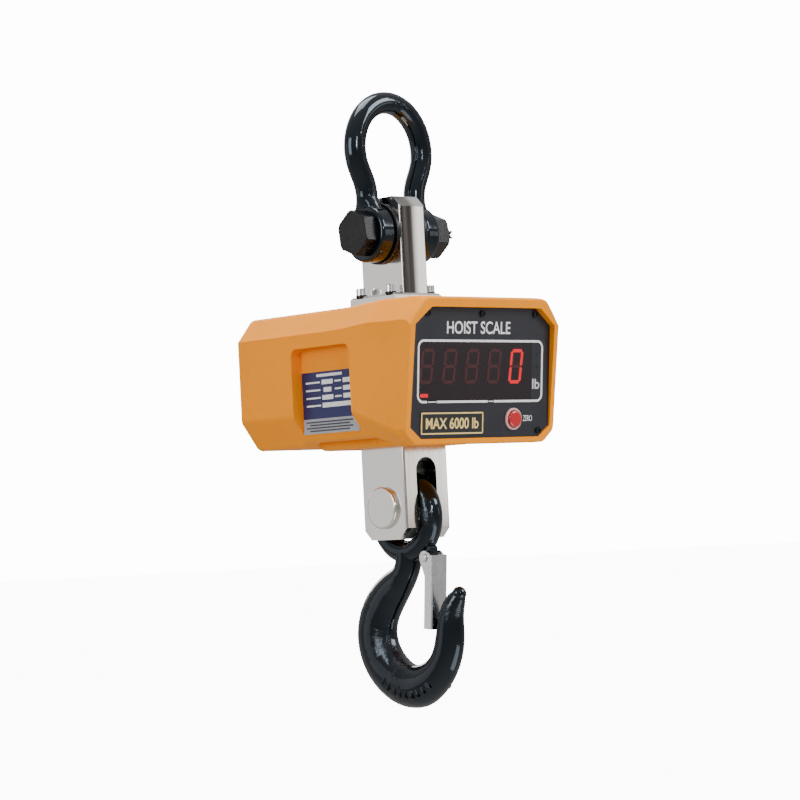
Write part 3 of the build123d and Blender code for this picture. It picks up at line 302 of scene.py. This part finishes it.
def tint(finish, factor, first, second):
    """Base colour between two colours; a colour may be a socket."""
    mix = finish.node_tree.nodes.new("ShaderNodeMix")
    mix.data_type = "RGBA"
    links = finish.node_tree.links
    links.new(factor, mix.inputs[0])
    for colour, socket in ((first, mix.inputs[6]), (second, mix.inputs[7])):
        if isinstance(colour, bpy.types.NodeSocket):
            links.new(colour, socket)
        else:
            socket.default_value = (*colour, 1)
    links.new(mix.outputs[2], shader_of(finish).inputs["Base Color"])
    return mix.outputs[2]


def gloss(finish, value, low, high):
    """Roughness that varies between two values."""
    roughness = spread(finish, value, 0.3, 0.7, low, high)
    finish.node_tree.links.new(roughness, shader_of(finish).inputs["Roughness"])


def relief(finish, value, strength, depth, under=None):
    """Bump from a value, over another bump if one is given."""
    bump = finish.node_tree.nodes.new("ShaderNodeBump")
    links = finish.node_tree.links
    bump.inputs["Strength"].default_value = strength
    bump.inputs["Distance"].default_value = depth
    links.new(value, bump.inputs["Height"])
    if under:
        links.new(under, bump.inputs["Normal"])
    links.new(bump.outputs["Normal"], shader_of(finish).inputs["Normal"])
    return bump.outputs["Normal"]


def facing(finish, axis):
    """How squarely a surface faces along an axis, from 0 to 1."""
    nodes, links = finish.node_tree.nodes, finish.node_tree.links
    geometry = nodes.new("ShaderNodeNewGeometry")
    parts = nodes.new("ShaderNodeSeparateXYZ")
    size = nodes.new("ShaderNodeMath")
    size.operation = "ABSOLUTE"
    links.new(geometry.outputs["Normal"], parts.inputs["Vector"])
    links.new(parts.outputs[axis], size.inputs[0])
    return size.outputs[0]


def along(finish, axis):
    """Place along an axis, in metres."""
    nodes, links = finish.node_tree.nodes, finish.node_tree.links
    place = nodes.new("ShaderNodeTexCoord")
    parts = nodes.new("ShaderNodeSeparateXYZ")
    links.new(place.outputs["Object"], parts.inputs["Vector"])
    return parts.outputs[axis]


def darker(colour, amount):
    return tuple(channel * amount for channel in colour)


def cover(finish, *names):
    """Give CAD nodes a finish."""
    for name in names:
        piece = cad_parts[name]
        piece.data.materials.clear()
        piece.data.materials.append(finish)


# --- finishes -------------------------------------------------------------------
def powder_coat():
    colour = bpy.context.scene.crane_finishes.paint
    finish = new_finish("housing_powder_coat", colour, 0.0, 0.5)
    mottle = spread(finish, grain(finish, 14.0, detail=3.0), 0.35, 0.65)
    tint(finish, mottle, darker(colour, 0.93), colour)
    peel = relief(finish, grain(finish, 900.0, detail=2.0), 0.12, 0.15 * MM)
    relief(finish, grain(finish, 22.0, detail=1.0), 0.05, 1.2 * MM, peel)
    gloss(finish, grain(finish, 60.0), 0.42, 0.54)
    shader_of(finish).inputs["Specular IOR Level"].default_value = 0.1
    return finish


def forged_enamel():
    colour = bpy.context.scene.crane_finishes.enamel
    finish = new_finish("forged_black_enamel", colour, 0.0, 0.12)
    patches = spread(finish, grain(finish, 24.0, detail=3.0, roughness=0.5), 0.56, 0.68)
    tint(finish, patches, colour, (0.004, 0.0045, 0.006))
    rough = grain(finish, 330.0, detail=3.0, roughness=0.6)
    scale = relief(finish, times(finish, patches, rough), 0.5, 2.0 * MM)
    lumps = relief(finish, grain(finish, 55.0, detail=1.5, roughness=0.4), 0.2, 2.0 * MM, scale)
    relief(finish, grain(finish, 300.0, detail=2.0), 0.04, 0.5 * MM, lumps)
    gloss(finish, patches, 0.1, 0.24)
    shader_of(finish).inputs["Specular IOR Level"].default_value = 0.5
    shader_of(finish).inputs["Specular Tint"].default_value = (0.72, 0.86, 1.0, 1)
    return finish


def black_oxide():
    finish = new_finish("black_oxide_steel", (0.006, 0.006, 0.008), 0.0, 0.3)
    wear = spread(finish, grain(finish, 160.0, detail=6.0), 0.5, 0.75)
    tint(finish, wear, (0.004, 0.0045, 0.006), (0.012, 0.012, 0.015))
    gloss(finish, grain(finish, 90.0), 0.2, 0.4)
    relief(finish, grain(finish, 420.0), 0.15, 0.2 * MM)
    shader_of(finish).inputs["Specular IOR Level"].default_value = 0.3
    return finish


def satin_nickel(name="satin_nickel", dark=(0.74, 0.66, 0.56), reflection_band=None):
    """Ground and plated steel with a painted reflection: faces along Y are tinted darker in streaks; with a
    reflection band, a much darker painted reflection left of it.
    """
    colour = bpy.context.scene.crane_finishes.nickel
    finish = new_finish(name, colour, 1.0, 0.24)
    # painted reflection: streaky noise that tints faces along Y towards the dark colour
    reflection_streaks = spread(finish, grain(finish, 60.0, (1.0, 1.0, 0.02), detail=3.0), 0.38, 0.62)
    shade = times(finish, reflection_streaks, facing(finish, "Y"))
    if reflection_band:
        # painted reflection band: faces along Y go nearly black left of the band, in streaks
        reflection_streaks = spread(finish, grain(finish, 150.0, (1.0, 1.0, 0.02), detail=2.0), 0.35, 0.6, 0.94, 1.0)
        across = spread(finish, along(finish, "X"), reflection_band[0], reflection_band[1], 1.0, 0.0)
        shade = times(finish, times(finish, reflection_streaks, across), facing(finish, "Y"))
    tint(finish, shade, colour, dark)
    lines = grain(finish, 1400.0, (1.0, 1.0, 0.015), detail=3.0)
    brushed = relief(finish, lines, 0.10, 0.08 * MM)
    relief(finish, grain(finish, 30.0, detail=1.0), 0.03, 1.0 * MM, brushed)
    gloss(finish, grain(finish, 120.0, (1.0, 1.0, 0.05)), 0.08, 0.17)
    return finish


def bright_zinc():
    colour = bpy.context.scene.crane_finishes.zinc
    finish = new_finish("bright_zinc", colour, 1.0, 0.3)
    spangle = spread(finish, grain(finish, 220.0, detail=4.0), 0.35, 0.65)
    tint(finish, spangle, darker(colour, 0.9), colour)
    relief(finish, grain(finish, 700.0, (1.0, 1.0, 0.1)), 0.1, 0.1 * MM)
    gloss(finish, grain(finish, 60.0, (1.0, 1.0, 0.2)), 0.14, 0.28)
    return finish


def plain_steel():
    finish = new_finish("plain_steel", (0.55, 0.55, 0.55), 1.0, 0.35)
    tint(finish, grain(finish, 90.0), (0.45, 0.45, 0.46), (0.62, 0.62, 0.61))
    relief(finish, grain(finish, 900.0, (0.1, 1.0, 1.0)), 0.2, 0.1 * MM)
    return finish


def panel_laminate():
    colour = bpy.context.scene.crane_finishes.panel
    finish = new_finish("panel_laminate", colour, 0.0, 0.38)
    tint(finish, grain(finish, 9.0, detail=2.0), darker(colour, 0.85), darker(colour, 1.2))
    relief(finish, grain(finish, 1500.0, detail=2.0), 0.1, 0.05 * MM)
    gloss(finish, grain(finish, 40.0), 0.32, 0.44)
    return finish


def dark_filter():
    finish = new_finish("dark_display_filter", (0.012, 0.006, 0.008), 0.0, 0.16)
    tint(finish, grain(finish, 6.0, detail=1.0), (0.009, 0.005, 0.007), (0.017, 0.008, 0.01))
    relief(finish, grain(finish, 12.0, detail=1.0), 0.02, 0.5 * MM)
    shader_of(finish).inputs["Coat Weight"].default_value = 0.3
    shader_of(finish).inputs["Coat Roughness"].default_value = 0.08
    return finish


def ink(name, colour, roughness=0.5):
    """A printed colour with a faint unevenness."""
    finish = new_finish(name, colour, 0.0, roughness)
    tint(finish, grain(finish, 300.0, detail=2.0), darker(colour, 0.9), colour)
    relief(finish, grain(finish, 2000.0), 0.08, 0.02 * MM)
    return finish


def lit_segment():
    colour = bpy.context.scene.crane_finishes.glow
    finish = new_finish("lit_segment", colour, 0.0, 0.4)
    tint(finish, grain(finish, 500.0), darker(colour, 0.5), darker(colour, 0.7))
    shader_of(finish).inputs["Emission Color"].default_value = (*colour, 1)
    shader_of(finish).inputs["Emission Strength"].default_value = 0.42
    return finish


def moulded(name, colour, roughness, coat=0.0):
    """Moulded plastic with a fine skin."""
    finish = new_finish(name, colour, 0.0, roughness)
    tint(finish, grain(finish, 40.0, detail=2.0), darker(colour, 0.92), colour)
    relief(finish, grain(finish, 1100.0, detail=2.0), 0.08, 0.05 * MM)
    shader_of(finish).inputs["Coat Weight"].default_value = coat
    shader_of(finish).inputs["Coat Roughness"].default_value = 0.08
    return finish


def rubber():
    finish = new_finish("black_rubber", (0.02, 0.02, 0.02), 0.0, 0.75)
    tint(finish, grain(finish, 200.0), (0.015, 0.015, 0.015), (0.03, 0.03, 0.03))
    relief(finish, grain(finish, 800.0), 0.3, 0.1 * MM)
    return finish


def circuit_board():
    finish = new_finish("circuit_board", (0.01, 0.12, 0.05), 0.0, 0.45)
    tracks = spread(finish, grain(finish, 180.0, detail=1.0), 0.48, 0.52)
    tint(finish, tracks, (0.008, 0.1, 0.04), (0.02, 0.2, 0.09))
    relief(finish, grain(finish, 400.0), 0.2, 0.05 * MM)
    return finish


# --- operators ------------------------------------------------------------------
class CRANE_OT_stage(bpy.types.Operator):
    """Add the floor, the studio lights and the camera"""
    bl_idname = "crane.stage"
    bl_label = "Stage"

    def execute(self, context):
        stage = context.scene.crane_stage
        self.add_floor(stage)
        self.add_sky(context.scene)
        aim = Vector(stage.aim)
        self.add_light("key_light", (1.3, -2.1, 1.3), aim, 1.2, 64)
        self.add_light("side_light", (-2.7, 0.2, 0.4), aim, 1.3, 34)
        self.add_light("strip_light", (-1.0, -2.4, 0.5), aim, 0.3, 12)
        self.add_light("top_light", (-0.2, 0.3, 1.9), aim, 1.4, 58)
        self.add_light("rear_light", (0.8, 2.5, 0.7), aim, 1.4, 30)
        self.add_light("left_card", (-2.3, 2.3, -0.1), aim, 1.6, 5)
        self.add_light("right_card", (2.3, -2.2, 0.0), aim, 0.7, 2.6)
        self.add_light("low_light", (0.2, -1.2, -1.4), aim, 1.0, 10)
        self.add_camera(context.scene, stage, aim)
        return {"FINISHED"}

    def add_floor(self, stage):
        clear_selection()
        level = cad_low.z - stage.floor_drop
        bpy.ops.mesh.primitive_circle_add(vertices=96, radius=80, fill_type="NGON", location=(0, 0, level))
        floor = bpy.context.object
        floor.name = "studio_floor"
        bpy.ops.object.transform_apply(location=True, rotation=True, scale=True)
        finish = new_finish("studio_floor", stage.floor_colour, 0.0, 0.9)
        shader_of(finish).inputs["Emission Color"].default_value = (1, 1, 1, 1)
        shader_of(finish).inputs["Emission Strength"].default_value = 11.0
        floor.data.materials.append(finish)
        floor.visible_diffuse = False
        floor.visible_glossy = False

    def add_sky(self, scene):
        """White behind the object; for lighting, pale above and duller towards the horizon."""
        world = bpy.data.worlds.new("studio_sky")
        world.use_nodes = True
        nodes, links = world.node_tree.nodes, world.node_tree.links
        nodes.clear()
        place = nodes.new("ShaderNodeTexCoord")
        parts = nodes.new("ShaderNodeSeparateXYZ")
        ramp = nodes.new("ShaderNodeValToRGB")
        ramp.color_ramp.elements[0].position = 0.0
        ramp.color_ramp.elements[0].color = (0.95, 0.93, 0.9, 1)
        ramp.color_ramp.elements[1].position = 1.0
        ramp.color_ramp.elements[1].color = (1.0, 1.0, 1.0, 1)
        dull = ramp.color_ramp.elements.new(0.5)
        dull.color = (0.4, 0.4, 0.4, 1)
        lift = nodes.new("ShaderNodeMapRange")
        lift.inputs["From Min"].default_value = -1
        lighting = nodes.new("ShaderNodeBackground")
        lighting.inputs["Strength"].default_value = 0.85
        backdrop = nodes.new("ShaderNodeBackground")
        backdrop.inputs["Color"].default_value = (1, 1, 1, 1)
        backdrop.inputs["Strength"].default_value = 14.0
        path = nodes.new("ShaderNodeLightPath")
        mix = nodes.new("ShaderNodeMixShader")
        output = nodes.new("ShaderNodeOutputWorld")
        links.new(place.outputs["Generated"], parts.inputs["Vector"])
        links.new(parts.outputs["Z"], lift.inputs["Value"])
        links.new(lift.outputs["Result"], ramp.inputs["Fac"])
        links.new(ramp.outputs["Color"], lighting.inputs["Color"])
        links.new(path.outputs["Is Camera Ray"], mix.inputs[0])
        links.new(lighting.outputs["Background"], mix.inputs[1])
        links.new(backdrop.outputs["Background"], mix.inputs[2])
        links.new(mix.outputs["Shader"], output.inputs["Surface"])
        scene.world = world

    def add_light(self, name, place, aim, size, power):
        clear_selection()
        bpy.ops.object.light_add(type="AREA", location=place)
        light = bpy.context.object
        light.name = name
        light.data.shape = "SQUARE"
        light.data.size = size
        light.data.energy = power
        light.rotation_euler = (aim - Vector(place)).to_track_quat("-Z", "Y").to_euler()

    def add_camera(self, scene, stage, aim):
        turn = -stage.azimuth
        back = Vector((-sin(turn) * cos(stage.elevation), -cos(turn) * cos(stage.elevation),
                       sin(stage.elevation)))
        right = Vector((cos(turn), -sin(turn), 0))
        up = back.cross(right)
        rolled_right = right * cos(stage.roll) - up * sin(stage.roll)
        rolled_up = right * sin(stage.roll) + up * cos(stage.roll)
        clear_selection()
        bpy.ops.object.camera_add()
        camera = bpy.context.object
        camera.data.lens = stage.lens
        camera.data.sensor_width = 36
        camera.data.clip_end = 500
        camera.data.dof.use_dof = False
        facing_turn = Matrix((rolled_right, rolled_up, back)).transposed().to_4x4()
        camera.matrix_world = Matrix.Translation(aim + back * stage.distance) @ facing_turn
        scene.camera = camera


class CRANE_OT_housing(bpy.types.Operator):
    """Powder coat on the housing and its rear cover"""
    bl_idname = "crane.housing"
    bl_label = "Housing paint"

    def execute(self, context):
        cover(powder_coat(), "housing_shell", "rear_cover")
        return {"FINISHED"}


class CRANE_OT_load_line(bpy.types.Operator):
    """Enamel, nickel and black steel on the pieces that carry the load"""
    bl_idname = "crane.load_line"
    bl_label = "Load line finishes"

    def execute(self, context):
        cover(forged_enamel(), "bow_shackle", "eye_hook")
        cover(satin_nickel(), "top_plate", "lower_clevis_block", "clevis_pin")
        block_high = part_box("upper_eye_block")[1]
        # painted reflection: a nearly black band on the upper eye block's front and rear faces, left of the
        # band
        reflection_band = (-block_high.x * 0.15, block_high.x * 0.35)
        painted_reflection_nickel = satin_nickel("nickel_painted_reflection", (0.03, 0.025, 0.023), reflection_band)
        cover(painted_reflection_nickel, "upper_eye_block")
        cover(black_oxide(), "shackle_bolt", "shackle_nut", "shackle_spacers", "top_plate_washers",
              "panel_screws")
        cover(bright_zinc(), "split_pin", "top_plate_screws", "hook_latch", "latch_bolt", "latch_nut",
              "board_standoffs", "main_board_posts", "rear_screws")
        cover(plain_steel(), "load_cell", "load_cell_studs", "pin_retaining_ring", "latch_spring")
        return {"FINISHED"}


class CRANE_OT_small_parts(bpy.types.Operator):
    """Finishes on the panel, the button and everything inside and behind"""
    bl_idname = "crane.small_parts"
    bl_label = "Panel and inside finishes"

    def execute(self, context):
        finishes = context.scene.crane_finishes
        cover(panel_laminate(), "display_panel")
        cover(dark_filter(), "display_window")
        cover(moulded("button_red", finishes.button, 0.15, 1.0), "zero_button_cap", "power_switch_rocker",
              "indicator_led")
        cover(moulded("button_ring_pale", (0.72, 0.42, 0.4), 0.35), "zero_button_ring")
        cover(moulded("badge_black", (0.012, 0.012, 0.013), 0.35, 0.2), "capacity_plate")
        cover(moulded("label_backing", (0.25, 0.25, 0.26), 0.5), "rating_labels")
        cover(moulded("black_plastic", (0.018, 0.018, 0.02), 0.5), "digit_modules", "zero_switch",
              "battery_tray", "power_switch_frame", "charging_socket")
        cover(moulded("battery_case", (0.04, 0.04, 0.055), 0.5), "battery_pack")
        cover(circuit_board(), "display_board", "main_board")
        cover(rubber(), "front_gasket", "rear_gasket", "socket_plug")
        return {"FINISHED"}


class CRANE_OT_display_print(bpy.types.Operator):
    """The frame line, title, unit and dots printed on the panel"""
    bl_idname = "crane.display_print"
    bl_label = "Display printing"

    def execute(self, context):
        sizes = context.scene.crane_print
        white = ink("white_ink", (0.82, 0.82, 0.82))
        outline = flat_frame(sizes.frame_width, sizes.frame_height, 0, 0, sizes.line, sizes.frame_corner,
                             sizes.ink)
        for left, right in ((-61, -50), (8, 15)):
            self.cut_gap(outline, left * MM, right * MM)
        place = panel_place(0.02 * MM)
        settle(outline, "display_frame_line", place, "scale_body", white)
        title = words(sizes.title, 72.9 * MM, 10.5 * MM, -3.5 * MM, 36.3 * MM, sizes.ink, 0.012)
        settle(title, "panel_title", place, "scale_body", white)
        unit = words("lb", 8.7 * MM, 8.6 * MM, 64.3 * MM, -10.9 * MM, sizes.ink, 0.02)
        settle(unit, "unit_mark", place, "scale_body", ink("grey_ink", (0.55, 0.55, 0.56)))
        word = words(sizes.button_word, 10.8 * MM, 4.9 * MM, 55.0 * MM, -39.9 * MM, sizes.ink, 0.0)
        settle(word, "button_word", place, "scale_body", white)
        tags = [flat_bar(8.4 * MM, 0.9 * MM, -55.5 * MM, -25.3 * MM, sizes.ink, 0.2 * MM),
                flat_bar(5.0 * MM, 0.9 * MM, 11.5 * MM, -25.3 * MM, sizes.ink, 0.2 * MM)]
        settle(join(tags), "frame_tags", place, "scale_body", white)
        dots = [flat_bar(3.2 * MM, 3.2 * MM, 65.6 * MM, y * MM, sizes.ink, 1.0 * MM) for y in (14.7, 3.6)]
        settle(join(dots), "unit_dots", place, "scale_body", ink("dot_ink", (0.004, 0.004, 0.005)))
        return {"FINISHED"}

    def cut_gap(self, outline, left, right):
        """Open the lower line of the frame between two places."""
        select_only(outline)
        bpy.ops.object.mode_set(mode="EDIT")
        for x in (left, right):
            bpy.ops.mesh.select_all(action="SELECT")
            bpy.ops.mesh.bisect(plane_co=(x, 0, 0), plane_no=(1, 0, 0))
        bpy.ops.mesh.select_all(action="DESELECT")
        bpy.ops.object.mode_set(mode="OBJECT")
        for face in outline.data.polygons:
            face.select = left < face.center.x < right and face.center.y < 0
        bpy.ops.object.mode_set(mode="EDIT")
        bpy.ops.mesh.select_mode(type="FACE")
        bpy.ops.mesh.delete(type="FACE")
        bpy.ops.mesh.select_mode(type="EDGE")
        bpy.ops.mesh.select_non_manifold()
        bpy.ops.mesh.edge_face_add()
        bpy.ops.mesh.select_mode(type="VERT")
        bpy.ops.object.mode_set(mode="OBJECT")


class CRANE_OT_digits(bpy.types.Operator):
    """Five seven-segment digits, the last one lit, and the lit mark"""
    bl_idname = "crane.digits"
    bl_label = "Digits"

    def execute(self, context):
        sizes = context.scene.crane_print
        lean = Matrix(((1, tan(sizes.digit_slant), 0, 0), (0, 1, 0, 0), (0, 0, 1, 0), (0, 0, 0, 1)))
        place = panel_place(-0.08 * MM)
        dim, lit = [], []
        for index in range(DIGITS):
            centre = Matrix.Translation(((index - DIGITS // 2) * sizes.digit_pitch - 10.7 * MM, 4.1 * MM, 0))
            for name, bar in self.segments(sizes).items():
                bar.data.transform(centre @ lean)
                (lit if index == DIGITS - 1 and name != "middle" else dim).append(bar)
        unlit = ink("dim_segment", (0.045, 0.006, 0.009), 0.35)
        settle(join(dim), "dim_segments", place, "scale_body", unlit)
        glow = lit_segment()
        settle(join(lit), "lit_segments", place, "scale_body", glow)
        mark = flat_bar(8.9 * MM, 3.0 * MM, -64.3 * MM, -20.1 * MM, sizes.ink, 0.9 * MM)
        settle(mark, "lit_mark", place, "scale_body", glow)
        return {"FINISHED"}

    def segments(self, sizes):
        """The seven bars of one digit about its middle."""
        w, h, s = sizes.digit_width, sizes.digit_height, sizes.segment
        gap = 0.35 * MM
        long_x, long_y = w - s - 2 * gap, (h - s) / 2 - 2 * gap
        side, level = (w - s) / 2, (h - s) / 2
        spots = (("top", 0, level, True), ("middle", 0, 0, True), ("foot", 0, -level, True),
                 ("upper_left", -side, level / 2, False), ("upper_right", side, level / 2, False),
                 ("lower_left", -side, -level / 2, False), ("lower_right", side, -level / 2, False))
        bars = {}
        for name, x, y, across in spots:
            width, height = (long_x, s) if across else (s, long_y)
            bars[name] = flat_bar(width, height, x, y, sizes.ink, s * 0.42, 1)
        return bars


class CRANE_OT_badge(bpy.types.Operator):
    """The gold border and words on the capacity badge"""
    bl_idname = "crane.badge"
    bl_label = "Badge"

    def execute(self, context):
        sizes = context.scene.crane_print
        gold = ink("gold_ink", (0.85, 0.62, 0.22), 0.4)
        width = badge_high.x - badge_low.x
        height = (badge_high.z - badge_low.z) / cos(sizes.tilt)
        x = (badge_low.x + badge_high.x) / 2
        y = -43.0 * MM
        border = flat_frame(width - 0.6 * MM, height - 0.6 * MM, x, y, 1.2 * MM, 1.0 * MM, sizes.ink)
        text = words(sizes.capacity, width * 0.84, height * 0.5, x, y, sizes.ink, 0.02)
        settle(join([border, text]), "badge_print", panel_place(0.66 * MM), "scale_body", gold)
        return {"FINISHED"}


class CRANE_OT_label_print(bpy.types.Operator):
    """The two-colour field, boxes and bars printed on both rating labels"""
    bl_idname = "crane.label_print"
    bl_label = "Label printing"

    def execute(self, context):
        finishes = context.scene.crane_finishes
        navy = ink("label_navy", finishes.label, 0.4)
        grey = ink("label_grey", (0.33, 0.34, 0.36), 0.45)
        white = ink("label_white", (0.8, 0.8, 0.8), 0.5)
        dark = ink("label_dark", (0.03, 0.03, 0.05), 0.5)
        width, height = label_high.y - label_low.y, label_high.z - label_low.z
        thick = 0.08 * MM
        for side, name in ((-1, "left"), (1, "right")):
            field = flat_bar(width, height * 0.755, 0, height * 0.1225, thick, 0.8 * MM)
            foot = flat_bar(width, height * 0.243, 0, -height * 0.3785, thick, 0.8 * MM)
            self.put(field, f"label_field_{name}", side, 0.02 * MM, navy)
            self.put(foot, f"label_foot_{name}", side, 0.02 * MM, grey)
            self.put(join(self.boxes(width, height, thick)), f"label_boxes_{name}", side, 0.11 * MM, white)
            self.put(join(self.lines(width, height, thick)), f"label_lines_{name}", side, 0.11 * MM, dark)
        return {"FINISHED"}

    def boxes(self, width, height, thick):
        """A header bar, row bars and white fields in four rows."""
        pieces = [flat_bar(width * 0.46, height * 0.045, 0, height * 0.44, thick, 0.4 * MM)]
        rows = ((-0.30, 0.2, 0.18), (-0.30, 0.14, 0.10), (-0.30, 0.2, 0.18), (-0.30, 0.0, 0.0))
        for row, (bar_x, first, second) in enumerate(rows):
            y = height * (0.33 - row * 0.125)
            pieces.append(flat_bar(width * 0.26, height * 0.028, width * bar_x, y, thick, 0.3 * MM))
            if second:
                pieces.append(flat_bar(width * first, height * 0.075, width * -0.04, y, thick, 0.4 * MM))
                pieces.append(flat_bar(width * 0.12, height * 0.028, width * 0.15, y, thick, 0.3 * MM))
                pieces.append(flat_bar(width * 0.22, height * 0.075, width * 0.35, y, thick, 0.4 * MM))
            else:
                pieces.append(flat_bar(width * 0.6, height * 0.075, width * 0.16, y, thick, 0.4 * MM))
        return pieces

    def lines(self, width, height, thick):
        return [flat_bar(width * (0.84 - 0.12 * (row % 2)), height * 0.024, -width * 0.03,
                         height * (-0.31 - row * 0.047), thick, 0.2 * MM) for row in range(4)]

    def put(self, piece, name, side, lift, finish):
        """Stand a flat print on the outer face of a label."""
        face = label_high.x if side > 0 else label_low.x
        across = Vector((0, side, 0))
        middle = (label_low + label_high) / 2
        centre = Vector((face + side * lift, middle.y, middle.z))
        turn = Matrix((across, Vector((0, 0, 1)), Vector((side, 0, 0)))).transposed().to_4x4()
        settle(piece, name, Matrix.Translation(centre) @ turn, "scale_body", finish)


class CRANE_OT_casting_marks(bpy.types.Operator):
    """Plain raised bars cast on the flanks of the hook's bowl"""
    bl_idname = "crane.casting_marks"
    bl_label = "Casting marks"

    def execute(self, context):
        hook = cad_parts["eye_hook"]
        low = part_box("eye_hook")[0]
        centre_y, centre_z, reach = -4 * MM, low.z + 54 * MM, 42 * MM
        enamel = hook.data.materials[0]
        bars = []
        for side in (-1, 1):
            for index in range(MARKS):
                angle = MARK_FIRST + index * MARK_STEP
                start = Vector((side * 0.2, centre_y + reach * sin(angle), centre_z - reach * cos(angle)))
                found, place, normal, face = hook.ray_cast(start, Vector((-side, 0, 0)))
                if not found:
                    raise RuntimeError("a casting mark misses the hook")
                radial = Vector((0, sin(angle), -cos(angle)))
                bars.append(self.bar(place, normal, radial, (2.0 if index % 3 else 4.0) * MM))
        settle(join(bars), "hook_casting_marks", Matrix(), "hook", enamel)
        return {"FINISHED"}

    def bar(self, place, normal, radial, width):
        """One rounded bar half sunk in the surface, its long side pointing away from the bowl's centre."""
        clear_selection()
        bpy.ops.mesh.primitive_cube_add(size=1)
        bar = bpy.context.object
        bar.scale = (width, 7.5 * MM, 2.2 * MM)
        bpy.ops.object.transform_apply(location=True, rotation=True, scale=True)
        bpy.ops.object.mode_set(mode="EDIT")
        bpy.ops.mesh.select_all(action="SELECT")
        bpy.ops.mesh.bevel(offset=0.6 * MM, segments=3, affect="EDGES")
        bpy.ops.object.mode_set(mode="OBJECT")
        bpy.ops.object.shade_smooth()
        across = radial.cross(normal).normalized()
        out = across.cross(radial).normalized()
        long = out.cross(across)
        bar.data.transform(Matrix.Translation(place) @ Matrix((across, long, out)).transposed().to_4x4())
        return bar


class CRANE_PT_panel(bpy.types.Panel):
    """The crane scale's pieces and their settings"""
    bl_label = "Crane Scale"
    bl_idname = "CRANE_PT_panel"
    bl_space_type = "VIEW_3D"
    bl_region_type = "UI"
    bl_category = "Crane Scale"

    def draw(self, context):
        for operator in OPERATORS:
            self.layout.operator(operator.bl_idname)
        for group in (context.scene.crane_stage, context.scene.crane_finishes, context.scene.crane_print):
            box = self.layout.box()
            for name in group.__annotations__:
                box.prop(group, name)


OPERATORS = (CRANE_OT_stage, CRANE_OT_housing, CRANE_OT_load_line, CRANE_OT_small_parts,
             CRANE_OT_display_print, CRANE_OT_digits, CRANE_OT_badge, CRANE_OT_label_print,
             CRANE_OT_casting_marks)
GROUPS = (CraneStage, CraneFinishes, CranePrint)


def register():
    for item in GROUPS + OPERATORS + (CRANE_PT_panel,):
        bpy.utils.register_class(item)
    bpy.types.Scene.crane_stage = bpy.props.PointerProperty(type=CraneStage)
    bpy.types.Scene.crane_finishes = bpy.props.PointerProperty(type=CraneFinishes)
    bpy.types.Scene.crane_print = bpy.props.PointerProperty(type=CranePrint)


def unregister():
    del bpy.types.Scene.crane_print
    del bpy.types.Scene.crane_finishes
    del bpy.types.Scene.crane_stage
    for item in reversed(GROUPS + OPERATORS + (CRANE_PT_panel,)):
        bpy.utils.unregister_class(item)


def main():
    register()
    bpy.ops.crane.stage()
    bpy.ops.crane.housing()
    bpy.ops.crane.load_line()
    bpy.ops.crane.small_parts()
    bpy.ops.crane.display_print()
    bpy.ops.crane.digits()
    bpy.ops.crane.badge()
    bpy.ops.crane.label_print()
    bpy.ops.crane.casting_marks()


if __name__ == "__main__":
    main()
